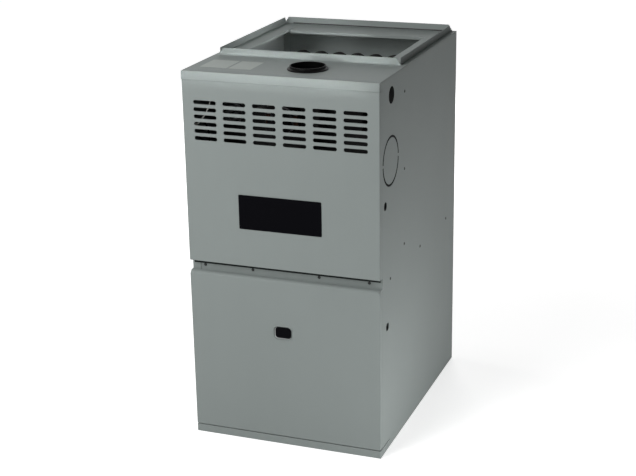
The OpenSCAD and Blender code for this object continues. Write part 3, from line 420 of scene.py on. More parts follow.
PAINT = BakedEnamel("casing_enamel", (0.262, 0.292, 0.284), shine=0.05)
# Painted shade: near-black colour for the walls of cut edges, holes and slits, which stand in shadow.
EDGE_SHADE = BakedEnamel("sheared_edge", (0.012, 0.014, 0.013), gloss=0.6)
DECAL = BakedEnamel("blank_decal", (0.40, 0.435, 0.415), gloss=0.5, peel=0.00001, mottle=0.12)
BADGE = Moulded("badge_black", (0.002, 0.002, 0.003), gloss=0.5, grain=1200.0, shine=0.02)
ZINC = Galvanised("galvanised_sheet")
# Painted shade: zinc darkened to near black for the shade inside the burner compartment.
ZINC_SHADED = Galvanised("galvanised_sooted", (0.055, 0.055, 0.055), 110.0, 0.5)
ZINC_FINE = Galvanised("galvanised_formed", (0.46, 0.48, 0.49), 220.0, 0.34)
# Painted shade: the tubes' aluminised steel is coloured near black for the shade inside the cabinet.
TUBE_SHADE = HeatedSteel("heat_exchanger_steel", (0.006, 0.006, 0.006), (0.004, 0.004, 0.003), 0.8, 0.0, 0.02)
BURNER_STEEL = HeatedSteel("burner_steel", (0.20, 0.20, 0.19), amount=0.5)
HOUSING_STEEL = BakedEnamel("inducer_black", (0.018, 0.018, 0.019), gloss=0.42, peel=0.00005)
VENT_BLACK = Moulded("vent_black", (0.002, 0.002, 0.002), gloss=0.26, grain=300.0, shine=0.05)
BLACK_PLASTIC = Moulded("black_plastic", (0.008, 0.008, 0.009), gloss=0.46, shine=0.05)
FAN_BLACK = Moulded("fan_black", (0.006, 0.006, 0.007), gloss=0.8, shine=0.0)
BLACK_PIPE = BakedEnamel("black_pipe", (0.022, 0.022, 0.023), gloss=0.38, peel=0.00008)
MOTOR_BLACK = BakedEnamel("motor_black", (0.02, 0.02, 0.022), gloss=0.34, peel=0.00005)
CORE = StackedCore("motor_core")
CORE_X = StackedCore("transformer_core", along=Axis.X)
COIL = MachinedMetal("varnished_coil", (0.022, 0.010, 0.006), (1.0, 12.0, 12.0), 200.0, 0.34)
CAST = MachinedMetal("cast_valve", (0.46, 0.47, 0.47), count=900.0, gloss=0.42, depth=0.00005)
BRASS = MachinedMetal("turned_brass", (0.58, 0.40, 0.15), (1.0, 8.0, 1.0), 400.0, 0.24)
GROUND = MachinedMetal("ground_steel", (0.50, 0.50, 0.50), (0.1, 6.0, 6.0), 600.0, 0.20)
SCREW_BLACK = MachinedMetal("blackened_screws", (0.035, 0.038, 0.037), count=300.0, gloss=0.42)
CERAMIC = Moulded("ceramic", (0.62, 0.58, 0.50), gloss=0.62, grain=500.0, depth=0.00004)
GREY_PLASTIC = Moulded("grey_plastic", (0.10, 0.105, 0.11), gloss=0.42)
WHITE_PLASTIC = Moulded("white_plastic", (0.78, 0.78, 0.74), gloss=0.38)
CLEAR_RIM = Moulded("clear_rim", (0.29, 0.31, 0.305), gloss=0.16, depth=0.000005, varnish=0.6)
LENS = Moulded("smoked_lens", (0.003, 0.003, 0.004), gloss=0.10, grain=100.0, depth=0.000005, shine=0.02)
# Painted shadow: a near-black strip for the shadow that the upper door casts on the rail.
RAIL_SHADE = Moulded("seal_foam", (0.022, 0.026, 0.025), gloss=0.85, grain=900.0, depth=0.00004, shine=0.05)
RUBBER = Moulded("hose_rubber", (0.016, 0.016, 0.017), gloss=0.50, grain=900.0, depth=0.00004)
RED_LAMP = Moulded("status_lamp_red", (0.30, 0.01, 0.01), gloss=0.15, varnish=0.5)
BOARD = BoardLacquer("circuit_board")


class Lead(Enum):
    """Colours of wire insulation."""

    WHITE = (0.72, 0.72, 0.68)
    RED = (0.42, 0.02, 0.02)
    BLUE = (0.02, 0.07, 0.36)
    YELLOW = (0.60, 0.46, 0.03)
    BROWN = (0.10, 0.045, 0.02)
    BLACK = (0.012, 0.012, 0.012)

    def finish(self) -> Finish:
        """The insulation's finish."""
        return Moulded(f"wire_{self.name.lower()}", self.value, gloss=0.38, grain=1500.0)


# --- shaping ---


@dataclass
class Place:
    """Where a finished piece goes: its name, material slot and body, and the nodes that it stands for.

    Without nodes it stands for the one of its own name.
    """

    name: str
    slot: str
    body: str = "casing"
    nodes: Optional[tuple[str, ...]] = None


def stand(name: str, data: bpy.types.ID) -> bpy.types.Object:
    """Puts new data in the scene as an object of that name."""
    made = bpy.data.objects.new(name, data)
    bpy.context.scene.collection.objects.link(made)
    return made


def edges_of(verts: Iterable) -> list:
    """The edges that meet at some vertices, each once and in a steady order."""
    return list(dict.fromkeys(e for v in verts for e in v.link_edges))


def ends_of(edges: Iterable) -> list:
    """The vertices that some edges join, each once and in a steady order."""
    return list(dict.fromkeys(v for e in edges for v in e.verts))


class Workpiece:
    """One piece in the making, as a bmesh in millimetres in the row's frame."""

    def __init__(self) -> None:
        """Starts with nothing on the bench."""
        self.bm = bmesh.new()
        self.skin: Optional[tuple[Vector, float]] = None

    def block(self, low: Point, high: Point, round_off: float = 0.0, steps: int = 2) -> list:
        """Adds a box with rounded edges.

        Args:
            low: lowest corner.
            high: highest corner.
            round_off: radius of its edges.
            steps: segments of the rounding.

        Returns:
            The box's vertices.
        """
        low, high = Vector(low), Vector(high)
        form = Matrix.Translation((low + high) / 2) @ Matrix.Diagonal((*(high - low), 1.0))
        made = bmesh.ops.create_cube(self.bm, size=1.0, matrix=form)["verts"]
        if round_off <= 0:
            return made
        return self._bevel(edges_of(made), round_off, steps)

    def _bevel(self, geom: list, radius: float, steps: int, affect: str = "EDGES") -> list:
        """Rounds edges, or corners, and returns the vertices of the rounding."""
        return bmesh.ops.bevel(
            self.bm,
            geom=geom,
            offset=radius,
            offset_type="OFFSET",
            segments=steps,
            profile=0.5,
            affect=affect,
            clamp_overlap=True,
            material=-1,
        )["verts"]

    def lathe(
        self, profile: Sequence[Point], centre: Point, axis: Axis, steps: int, fillet: float = 0.0
    ) -> list:
        """Turns a profile about an axis.

        Args:
            profile: (radius, distance along the axis) points, closed unless they start on the axis.
            centre: the point that distances start from.
            axis: the direction that they run along.
            steps: facets round the turn.
            fillet: radius at the profile's corners.

        Returns:
            The turned vertices.
        """
        before = set(self.bm.verts)
        form = Matrix.Translation(centre) @ axis.upright()
        verts = [self.bm.verts.new((r, 0, z)) for r, z in profile]
        pairs = list(zip(verts, verts[1:]))
        if profile[0][0] > 0:
            pairs.append((verts[-1], verts[0]))
        for pair in pairs:
            self.bm.edges.new(pair)
        if fillet > 0:
            turned = [v for v in verts if v.co.x > fillet and len(v.link_edges) == 2]
            self._bevel(turned, fillet, 3, "VERTICES")
        drawn = [v for v in self.bm.verts if v not in before]
        bmesh.ops.spin(
            self.bm,
            geom=drawn + edges_of(drawn),
            cent=(0, 0, 0),
            axis=(0, 0, 1),
            angle=TURN,
            steps=steps,
            use_merge=True,
            use_duplicate=False,
        )
        made = [v for v in self.bm.verts if v not in before]
        bmesh.ops.remove_doubles(self.bm, verts=made, dist=0.001)
        made = [v for v in self.bm.verts if v not in before]
        bmesh.ops.transform(self.bm, matrix=form, verts=made)
        return made

    def rod(
        self, start: Point, length: float, radius: float, axis: Axis, round_off: float = 0.4, steps: int = 32
    ) -> list:
        """Adds a round bar with eased ends."""
        profile = [(0.0, 0.0), (radius, 0.0), (radius, length), (0.0, length)]
        return self.lathe(profile, start, axis, steps, round_off)

    def hexagon(self, seat: Point, axis: Axis, flats: float, height: float) -> list:
        """Adds a hexagon with chamfered corners, standing on seat along an axis."""
        form = Matrix.Translation(Vector(seat) + axis.vector * height / 2) @ axis.upright()
        return bmesh.ops.create_cone(
            self.bm,
            cap_ends=True,
            segments=6,
            radius1=flats,
            radius2=flats * 0.93,
            depth=abs(height),
            matrix=form,
        )["verts"]

    def tile(
        self,
        centre: Pair,
        size: Pair,
        corner: float,
        low: float,
        high: float,
        axis: Axis,
        ease: float = 0.0,
    ) -> list:
        """Adds a plate with round corners.

        Args:
            centre: its middle across the axis, as [X, Y] for Z or [X, Z] for Y.
            size: its width and height.
            corner: radius of its corners.
            low: where it starts along the axis.
            high: where it ends along the axis.
            axis: the direction of its thickness, Y or Z.
            ease: rounding of its edges at the low or outer face.

        Returns:
            The plate's vertices.
        """
        before = set(self.bm.verts)
        made = self.block((-size[0] / 2, -size[1] / 2, 0), (size[0] / 2, size[1] / 2, high - low))
        uprights = [e for e in edges_of(made) if abs(e.verts[0].co.z - e.verts[1].co.z) > NEAR]
        self._bevel(uprights, corner, 8)
        if ease > 0:
            outer = high - low if axis is Axis.Z else 0.0
            rims = [
                e
                for e in self.bm.edges
                if e.verts[0] not in before and all(abs(v.co.z - outer) < NEAR for v in e.verts)
            ]
            self._bevel(rims, ease, 3)
        made = [v for v in self.bm.verts if v not in before]
        if axis is Axis.Y:
            form = Matrix.Translation((centre[0], low, centre[1])) @ Matrix(
                ((1, 0, 0, 0), (0, 0, 1, 0), (0, 1, 0, 0), (0, 0, 0, 1))
            )
        else:
            form = Matrix.Translation((centre[0], centre[1], low))
        bmesh.ops.transform(self.bm, matrix=form, verts=made)
        return made

    def carried(self, node: str) -> "Workpiece":
        """Starts from a frame node: its triangles are merged and its flat faces joined."""
        self.bm.from_mesh(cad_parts[node].data)
        bmesh.ops.scale(self.bm, vec=(1 / MM,) * 3, verts=self.bm.verts[:])
        bmesh.ops.remove_doubles(self.bm, verts=self.bm.verts[:], dist=0.002)
        bmesh.ops.dissolve_limit(
            self.bm,
            angle_limit=math.radians(0.6),
            verts=self.bm.verts[:],
            edges=self.bm.edges[:],
            use_dissolve_boundaries=False,
        )
        return self

    def ease(self, radius: float, steps: int = 2, least: float = 30.0) -> "Workpiece":
        """Rounds every edge sharper than least degrees."""
        limit = math.radians(least)
        edges = [e for e in self.bm.edges if len(e.link_faces) == 2 and e.calc_face_angle(0) > limit]
        self._bevel(edges, radius, steps)
        return self

    def move(self, by: Point, verts: Optional[list] = None) -> None:
        """Moves vertices, or everything."""
        bmesh.ops.translate(self.bm, vec=Vector(by), verts=verts if verts is not None else self.bm.verts[:])

    def turn(self, degrees: float, centre: Point, axis: Axis, verts: list) -> None:
        """Turns vertices about an axis through centre."""
        form = Matrix.Rotation(math.radians(degrees), 3, axis.vector)
        bmesh.ops.rotate(self.bm, cent=Vector(centre), matrix=form, verts=verts)

    def mirrored(self) -> "Workpiece":
        """Turns the piece into its mirror image across X = 0."""
        bmesh.ops.scale(self.bm, vec=(-1, 1, 1), verts=self.bm.verts[:])
        bmesh.ops.reverse_faces(self.bm, faces=self.bm.faces[:])
        if self.skin is not None:
            normal, spot = self.skin
            self.skin = (Vector((-normal.x, normal.y, normal.z)), spot)
        return self

    def done(
        self,
        place: Place,
        finish: Finish,
        thick: float = 0.0,
        smooth: float = SHARP,
        cut: Optional[Finish] = None,
    ) -> bpy.types.Object:
        """Makes the Blender object, dresses it and puts it on its body.

        Args:
            place: where it goes.
            finish: its finish.
            thick: wall that grows inwards from an open skin, in millimetres.
            smooth: the sharpest angle that is shaded smooth.
            cut: finish of the sheet's cut edges, where it isn't the face's.

        Returns:
            The finished object.
        """
        bmesh.ops.recalc_face_normals(self.bm, faces=self.bm.faces[:])
        if self.skin is not None:
            self._face_out()
        bmesh.ops.scale(self.bm, vec=(MM, MM, MM), verts=self.bm.verts[:])
        mesh = bpy.data.meshes.new(place.name)
        self.bm.to_mesh(mesh)
        self.bm.free()
        for dressing in (finish, cut) if cut else (finish,):
            mesh.materials.append(dressing.material())
        piece = stand(place.name, mesh)
        if thick > 0:
            wall = piece.modifiers.new("wall", "SOLIDIFY")
            wall.thickness = thick * MM
            wall.offset = -1.0
            wall.use_even_offset = True
            wall.use_quality_normals = True
            wall.material_offset_rim = 1 if cut else 0
            piece.data = self._baked(piece)
            piece.modifiers.clear()
        piece.data.shade_smooth()
        piece.data.set_sharp_from_angle(angle=smooth)
        even = piece.modifiers.new("even_shading", "WEIGHTED_NORMAL")
        even.keep_sharp = True
        return settle(piece, place)

    def _face_out(self) -> None:
        """Turns every face over if the skin's faces look inwards."""
        normal, spot = self.skin
        look = sum(
            f.normal.dot(normal) * f.calc_area()
            for f in self.bm.faces
            if abs(f.calc_center_median().dot(normal) - spot) < NEAR and abs(f.normal.dot(normal)) > 0.99
        )
        if look < 0:
            bmesh.ops.reverse_faces(self.bm, faces=self.bm.faces[:])

    def _baked(self, piece: bpy.types.Object) -> bpy.types.Mesh:
        """The piece's mesh with its modifiers applied."""
        graph = bpy.context.evaluated_depsgraph_get()
        return bpy.data.meshes.new_from_object(piece.evaluated_get(graph))


class Sheet(Workpiece):
    """A flat blank with cut-outs, folded like sheet metal.

    The blank is drawn as [u, v] in the plane of its outer skin, and folds are made in the
    row's frame.
    """

    sharp = 0.35

    def __init__(self, origin: Point, across: Axis, up: Axis, flip: bool = False) -> None:
        """Sets the plane of the skin: u runs along across, or against it if flip, and v along up."""
        super().__init__()
        u = across.vector * (-1 if flip else 1)
        v = up.vector
        normal = u.cross(v)
        self.form = Matrix.Translation(origin) @ Matrix((u, v, normal)).transposed().to_4x4()
        self.skin = (normal, Vector(origin).dot(normal))

    def outline(self, points: Iterable[Point]) -> "Sheet":
        """Draws the blank's edge."""
        verts = [self.bm.verts.new((p[0], p[1], 0)) for p in points]
        for a, b in zip(verts, verts[1:] + verts[:1]):
            self.bm.edges.new((a, b))
        return self

    def halves(self, *right: Point, lead: int = 1) -> "Sheet":
        """Draws an even blank from its right half, starting lead points to the left of its foot."""
        left = [(-u, v) for u, v in right]
        return self.outline([*reversed(left[:lead]), *right, *reversed(left[lead:])])

    def box(self, u0: float, v0: float, u1: float, v1: float) -> "Sheet":
        """Draws a rectangular blank."""
        return self.outline([(u0, v0), (u1, v0), (u1, v1), (u0, v1)])

    def round_hole(self, u: float, v: float, radius: float, steps: int = 48) -> "Sheet":
        """Draws a round cut-out."""
        bmesh.ops.create_circle(
            self.bm, cap_ends=False, segments=steps, radius=radius, matrix=Matrix.Translation((u, v, 0))
        )
        return self

    def slot_hole(self, u: float, v: float, length: float, height: float, steps: int = 16) -> "Sheet":
        """Draws a slot with round ends by pulling a circle's halves apart."""
        form = Matrix.Translation((u, v, 0)) @ Matrix.Rotation(math.pi / steps, 4, "Z")
        made = bmesh.ops.create_circle(
            self.bm, cap_ends=False, segments=steps, radius=height / 2, matrix=form
        )["verts"]
        for side in (-1, 1):
            half = [x for x in made if (x.co.x - u) * side > 0]
            self.move((side * (length - height) / 2, 0, 0), half)
        return self

    def square_hole(self, u: float, v: float, width: float, height: float, corner: float) -> "Sheet":
        """Draws a rectangular cut-out with round corners."""
        before = set(self.bm.verts)
        self.box(u - width / 2, v - height / 2, u + width / 2, v + height / 2)
        self._bevel([x for x in self.bm.verts if x not in before], corner, 6, "VERTICES")
        return self

    def knockout(
        self, u: float, v: float, radius: float, slit: float, bridge: float, steps: int
    ) -> "Sheet":
        """Draws the slit round a knockout, with a bridge at each side that holds the disc."""
        before = set(self.bm.edges)
        for r in (radius - slit / 2, radius + slit / 2):
            self.round_hole(u, v, r, steps)
        rings = [e for e in self.bm.edges if e not in before]
        band = bmesh.ops.bridge_loops(self.bm, edges=rings)["faces"]
        keep = [f for f in band if abs(f.calc_center_median().y - v) >= bridge / 2]
        bmesh.ops.delete(self.bm, geom=[f for f in band if f not in keep], context="FACES")
        halves = [[f for f in keep if (f.calc_center_median().y - v) * side > 0] for side in (-1, 1)]
        for half in halves:
            bmesh.ops.dissolve_faces(self.bm, faces=half, use_verts=False)
        gone = [f for f in self.bm.faces if f.is_valid]
        bmesh.ops.delete(self.bm, geom=gone, context="FACES_ONLY")
        return self

    def fill(self) -> "Sheet":
        """Cuts the blank from the sheet and stands it in its plane."""
        bmesh.ops.triangle_fill(self.bm, use_beauty=True, use_dissolve=False, edges=self.bm.edges[:])
        bmesh.ops.transform(self.bm, matrix=self.form, verts=self.bm.verts[:])
        return self

    def edge(self, pick: Picker) -> list:
        """Free edges whose two ends are picked."""
        return [e for e in self.bm.edges if len(e.link_faces) == 1 and all(pick(v.co) for v in e.verts)]

    def fold(self, pick: Picker, by: Point, taper: float = 0.0) -> list:
        """Folds a flange out of free edges.

        Args:
            pick: chooses the edges by their ends.
            by: the flange's direction and width.
            taper: how far both ends of its free edge draw in along X.

        Returns:
            The vertices of its free edge.
        """
        made = bmesh.ops.extrude_edge_only(self.bm, edges=self.edge(pick))["geom"]
        verts = [g for g in made if isinstance(g, bmesh.types.BMVert)]
        self.move(by, verts)
        if taper:
            ends = [v.co.x for v in verts]
            for v in verts:
                if v.co.x in (min(ends), max(ends)):
                    v.co.x += taper if v.co.x == min(ends) else -taper
        return verts

    def rim(self, pick: Picker, by: Point, spread: Point, centre: Point) -> list:
        """Draws the edge of a cut-out along by, and scales it by spread about centre."""
        verts = self.fold(pick, by)
        bmesh.ops.scale(self.bm, vec=Vector(spread), space=Matrix.Translation(-Vector(centre)), verts=verts)
        return verts

    def bend(self, radius: float = 1.5, steps: int = 3, pick: Optional[Picker] = None) -> "Sheet":
        """Rounds the folds, or those whose two ends are picked."""
        folds = [
            e
            for e in self.bm.edges
            if len(e.link_faces) == 2
            and e.link_faces[0].normal.angle(e.link_faces[1].normal, 0) > self.sharp
            and (pick is None or all(pick(v.co) for v in e.verts))
        ]
        self._bevel(folds, radius, steps)
        return self


class Pipe(Workpiece):
    """A bent tube, drawn from a ring that runs and turns."""

    def __init__(self, start: Point, axis: Axis, radius: float, steps: int = 24) -> None:
        """Lays the first ring at start, facing along axis."""
        super().__init__()
        form = Matrix.Translation(start) @ axis.upright()
        made = bmesh.ops.create_circle(self.bm, cap_ends=False, segments=steps, radius=radius, matrix=form)
        self.ring = edges_of(made["verts"])

    def run(self, by: Point) -> "Pipe":
        """Draws the ring straight by a vector."""
        made = bmesh.ops.extrude_edge_only(self.bm, edges=self.ring)["geom"]
        self.move(by, [g for g in made if isinstance(g, bmesh.types.BMVert)])
        self.ring = [g for g in made if isinstance(g, bmesh.types.BMEdge)]
        return self

    def bend(self, centre: Point, axis: Axis, degrees: float, steps: int = 12) -> "Pipe":
        """Turns the ring round a centre."""
        verts = ends_of(self.ring)
        made = bmesh.ops.spin(
            self.bm,
            geom=verts + self.ring,
            cent=Vector(centre),
            axis=axis.vector,
            angle=math.radians(degrees),
            steps=steps,
            use_merge=False,
            use_duplicate=False,
        )["geom_last"]
        self.ring = [g for g in made if isinstance(g, bmesh.types.BMEdge)]
        return self

    def swell(self, by: float) -> "Pipe":
        """Widens the last ring about its centre."""
        verts = ends_of(self.ring)
        centre = sum((v.co for v in verts), Vector()) / len(verts)
        bmesh.ops.scale(self.bm, vec=(by, by, by), space=Matrix.Translation(-centre), verts=verts)
        return self

    def cap(self) -> "Pipe":
        """Closes the last ring."""
        bmesh.ops.holes_fill(self.bm, edges=self.ring, sides=0)
        return self


def settle(piece: bpy.types.Object, place: Place) -> bpy.types.Object:
    """Puts a finished object on its body, in the place of its nodes."""
    nodes = (place.name,) if place.nodes is None else place.nodes
    if nodes:
        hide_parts(*nodes)
    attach(piece, place.body)
    log.info("%s on %s: %d faces", place.name, place.body, len(piece.data.polygons))
    return piece


def dressed(place: Place, finish: Finish, radius: float, steps: int = 2, least: float = 30.0) -> None:
    """Finishes the frame node of a place's name, with its edges sharper than least degrees rounded."""
    Workpiece().carried(place.name).ease(radius, steps, least).done(place, finish)


def strand(
    place: Place, route: Sequence[Point], radius: float, finish: Finish, bend: int
) -> bpy.types.Object:
    """A wire or hose on a smooth line through its route.

    Args:
        place: where it goes.
        route: points in millimetres.
        radius: of the strand, in millimetres.
        finish: its finish.
        bend: how finely its section is drawn.

    Returns:
        The finished object.
    """
    line = bpy.data.curves.new(place.name, "CURVE")
    line.dimensions = "3D"
    line.bevel_depth = radius * MM
    line.bevel_resolution = bend
    line.use_fill_caps = True
    line.resolution_u = 8
    spline = line.splines.new("NURBS")
    spline.points.add(len(route) - 1)
    for knot, spot in zip(spline.points, route):
        knot.co = (*(c * MM for c in spot), 1.0)
    spline.order_u = 4
    spline.use_endpoint_u = True
    drawn = stand(place.name + "_line", line)
    graph = bpy.context.evaluated_depsgraph_get()
    mesh = bpy.data.meshes.new_from_object(drawn.evaluated_get(graph))
    bpy.data.objects.remove(drawn)
    mesh.materials.clear()
    mesh.materials.append(finish.material())
    mesh.shade_smooth()
    mesh.set_sharp_from_angle(angle=math.radians(60))
    return settle(stand(place.name, mesh), place)


def along(base: Point, *steps: Point) -> list[Vector]:
    """Points at some steps from a base."""
    return [Vector(base) + Vector(step) for step in steps]


@dataclass
class TubeRow:
    """How the exchanger's tubes and their burners stand side by side."""

    tubes: int = 6
    pitch: float = 54.4
    fire_z: float = 600.0
    rise: float = 118.0
    panel: float = -152.8

    def across(self, i: int) -> float:
        """The place of tube or burner i, from 0, across the furnace."""
        return (i - (self.tubes - 1) / 2) * self.pitch


# --- painted casing ---


@dataclass
class Casing:
    """The painted cabinet, and the sheets inside it that hold the rest."""

    half: float = 266.7
    lip_front: float = -355.6
    skin_front: float = -353.6
    frame_front: float = -334.1
    wall_rear: float = 351.4
    rear: float = 352.6
    height: float = 1016.0
    wall_top: float = 1014.8
    steel: float = 1.0
    relief: float = 2.0
    bend: float = 1.6
    hem: float = 13.0
    flange: float = 19.0
    inner: float = 265.5
    post: float = -332.9
    pan_rear: float = 350.2
    vent_hole: Triple = (40.0, -248.0, 46.8)
    large_knockout: Triple = (-264.6, 797.0, 63.0)
    side_holes: tuple[Triple, ...] = (
        (-258.6, 966.0, 22.0),
        (-309.6, 689.0, 11.1),
        (-293.6, 355.0, 11.1),
    )

    def build(self) -> None:
        """Makes every sheet of the casing."""
        for right in (True, False):
            self.side(right)
            self.knockout_shade_rings(right)
        self.back()
        self.cap()
        self.supply_frame()
        self.floor_pan()
        self.base_strip()
        self.rail()
        self.deck()
        self.vestibule()
        self.screws()
        self.decals()

    def side(self, right: bool) -> None:
        """A side panel with its returns and hems; the right one's small holes are open."""
        n, top, base_top, notch_y = self.relief, self.wall_top, 22.8, -277.4
        front_return, rear_return = 23.0, 21.0
        sheet = Sheet((self.half, 0, 0), Axis.Y, Axis.Z)
        sheet.outline(
            [
                (self.frame_front, base_top), (notch_y, base_top), (notch_y, 0),
                (self.wall_rear - n, 0), (self.wall_rear - n, n), (self.wall_rear, n),
                (self.wall_rear, top - n), (self.wall_rear - n, top - n), (self.wall_rear - n, top),
                (self.frame_front + n, top), (self.frame_front + n, top - n),
                (self.frame_front, top - n),
            ]
        )
        sheet.knockout(*self.large_knockout, 6.0, 4.0, 108)
        for y, z, radius in self.side_holes:
            if right:
                sheet.round_hole(y, z, radius, 32)
            else:
                sheet.knockout(y, z, radius, 2.0, 4.0, 36)
        sheet.fill()
        skin = self.half - NEAR
        sheet.fold(lambda p: p.y < self.frame_front + NEAR, (-front_return, 0, 0))
        sheet.fold(lambda p: p.y > self.wall_rear - NEAR and p.x > skin, (-rear_return, 0, 0))
        sheet.fold(lambda p: p.z > top - NEAR and p.x > skin, (-self.hem, 0, 0))
        sheet.fold(lambda p: p.z < NEAR and p.x > skin, (-self.hem, 0, 0))
        sheet.bend(self.bend)
        if not right:
            sheet.mirrored()
        name = "right_side_panel" if right else "left_side_panel"
        # The side panels' cut edges and hole walls take the painted shade finish.
        sheet.done(Place(name, "casing_paint"), PAINT, self.steel, cut=EDGE_SHADE)

    def knockout_shade_rings(self, right: bool) -> None:
        """Black rings behind the knockouts' slits: painted shade that makes the slits read as dark lines."""
        shade_rings, low, high = Workpiece(), self.half - 1.5, self.half - 1.1
        for y, z, radius in (self.large_knockout, *(() if right else self.side_holes)):
            wide = min(4.0, radius / 3)
            inner, outer = radius - wide, radius + wide
            ring = [(inner, low), (outer, low), (outer, high), (inner, high)]
            shade_rings.lathe(ring, (0, y, z), Axis.X, 64)
        if not right:
            shade_rings.mirrored()
        name = "knockout_film_right" if right else "knockout_film_left"
        # Painted shade: near-black rings inside the panel darken the knockouts' slits.
        shade_rings.done(Place(name, "casing_paint", nodes=()), BADGE)

    def back(self) -> None:
        """The back panel with its top hem."""
        hem_x = 243.7
        sheet = Sheet((0, self.rear, 0), Axis.X, Axis.Z, flip=True)
        sheet.halves((self.half, 0), (self.half, self.wall_top), (hem_x, self.wall_top)).fill()
        sheet.fold(lambda p: p.z > self.wall_top - NEAR and abs(p.x) < hem_x + NEAR, (0, -self.hem, 0))
        sheet.bend(self.bend)
        sheet.done(Place("back_panel", "casing_paint"), PAINT, self.steel)

    def cap(self) -> None:
        """The cap over the burners: a hemmed lip, two ears, and the front duct flange."""
        w, top, rear, flange = self.half, self.height, -143.0, 254.7
        ear_front, ear_rear, lip, flare = -349.6, -334.4, 22.0, 1.3
        brow = self.lip_front + flare
        sheet = Sheet((0, 0, top), Axis.X, Axis.Y)
        sheet.halves((w, brow), (w, ear_front), (w, ear_rear), (w, rear), (flange, rear))
        sheet.round_hole(*self.vent_hole, 64)
        sheet.fill()
        level = top - NEAR
        sheet.fold(lambda p: p.y < brow + NEAR and p.z > level, (0, 0, -lip / 2))
        sheet.fold(lambda p: p.y < brow + NEAR and p.z < level, (0, -flare, -lip / 2))
        sheet.fold(lambda p: p.y < self.lip_front + NEAR and p.z < top - lip + NEAR, (0, 1.9, 0))
        hem = self.lip_front + 1.9
        sheet.fold(lambda p: abs(p.y - hem) < NEAR and p.z < top - lip + NEAR, (0, 0, 9))
        sheet.fold(
            lambda p: abs(p.x) > w - NEAR and ear_front - NEAR < p.y < ear_rear + NEAR and p.z > level,
            (0, 0, -lip),
        )
        sheet.fold(
            lambda p: p.y > rear - NEAR and abs(p.x) < flange + NEAR and p.z > level,
            (0, 0, self.flange),
            taper=12,
        )
        sheet.bend(4.5, 6, lambda p: p.y > rear - NEAR and abs(p.z - top) < NEAR)
        sheet.bend(0.9)
        sheet.done(Place("top_cap", "casing_paint"), PAINT, self.steel)

    def supply_frame(self) -> None:
        """Flat lips round the supply opening, with upright duct flanges."""
        nodes, slot = ("supply_flanges",), "casing_paint"
        inner, front, end, slot_x, slot_y = 204.7, -141.8, 342.4, 230.7, 332.6
        foot, crest = self.height, self.height + self.flange
        for side, name in ((1, "right"), (-1, "left")):
            lip = Sheet((0, 0, self.height), Axis.X, Axis.Y)
            lip.outline(
                [
                    (inner, front), (self.half, front), (self.half, end), (slot_x, end),
                    (slot_x, slot_y), (inner, slot_y),
                ]
            )
            lip.fill()
            lip.fold(lambda p: p.x < inner + NEAR, (0, 0, -6))
            lip.bend(1.0)
            flange = Sheet((252.7, 0, 0), Axis.Y, Axis.Z)
            flange.outline([(front, foot), (end - 1, foot), (end - 13, crest), (front + 4, crest)])
            flange.fill()
            flange.fold(lambda p: p.z < foot + NEAR, (-10, 0, 0))
            flange.bend(1.0)
            for sheet, kind in ((lip, "lip"), (flange, "flange")):
                if side < 0:
                    sheet.mirrored()
                sheet.done(Place(f"supply_{kind}_{name}", slot, nodes=nodes), PAINT, self.steel)
        shelf_front = 242.6
        shelf = Sheet((0, 0, 1014.7), Axis.X, Axis.Y).box(-216.7, shelf_front, 216.7, slot_y)
        shelf.fill()
        shelf.fold(lambda p: p.y < shelf_front + NEAR, (0, 0, -8))
        shelf.bend(1.0)
        shelf.done(Place("supply_lip_rear", slot, nodes=nodes), PAINT, self.steel)
        edge, wide = 343.6, 257.7
        angle = Sheet((0, 0, self.height), Axis.X, Axis.Y)
        angle.halves((wide, edge), (self.half, edge), (self.half, self.rear)).fill()
        angle.fold(lambda p: p.y < edge + NEAR and abs(p.x) < wide + NEAR, (0, 0, self.flange), taper=12)
        angle.bend(1.0)
        angle.done(Place("supply_flange_rear", slot, nodes=nodes), PAINT, self.steel)
        # A dark strip at the rear flange's foot: painted shade in the crevice between the rear lip and the
        # flange.
        crevice_shade = Workpiece()
        crevice_shade.block((-slot_x, edge - 1.4, foot - 0.2), (slot_x, edge - 0.1, foot + 3.0), 0.4)
        crevice_shade.done(Place("supply_seam_rear", "black_plastic", nodes=()), RUBBER)

    def floor_pan(self) -> None:
        """The floor, open for the return air, with a turned-up rim."""
        x, y0, y1, notch_x, notch_y = self.inner, -352.4, self.pan_rear, 243.5, self.post
        sheet = Sheet((0, 0, 2.2), Axis.X, Axis.Y)
        sheet.halves((notch_x, y0), (notch_x, notch_y), (x, notch_y), (x, y1))
        sheet.square_hole(0, 11.05, 467.4, 558.3, 4)
        sheet.fill()
        sheet.fold(lambda p: abs(p.x) < 234 and -269 < p.y < 291, (0, 0, 7))
        sheet.fold(lambda p: abs(p.x) > x - NEAR, (0, 0, 9))
        sheet.bend(1.0)
        sheet.done(Place("base_pan", "galvanised_sheet"), ZINC, self.steel)

    def base_strip(self) -> None:
        """The strip under the lower door, with its returns round both corners."""
        w, high, inset = self.half, 21.0, self.half - self.relief
        front = self.skin_front + NEAR
        sheet = Sheet((0, self.skin_front, 0), Axis.X, Axis.Z)
        sheet.halves((inset, 0), (w, 0), (w, high), (inset, high), lead=2).fill()
        wrap = (0, 76, 0)
        sheet.fold(lambda p: p.x > w - NEAR and p.y < front, wrap)
        sheet.fold(lambda p: p.x < NEAR - w and p.y < front, wrap)
        sheet.fold(lambda p: p.z > high - NEAR and abs(p.x) < inset + NEAR and p.y < front, (0, 22, 0))
        sheet.fold(lambda p: p.z < NEAR and abs(p.x) < inset + NEAR and p.y < front, (0, 16, 0))
        sheet.bend(0.8)
        sheet.done(Place("base_front_rail", "casing_paint"), PAINT, self.steel)

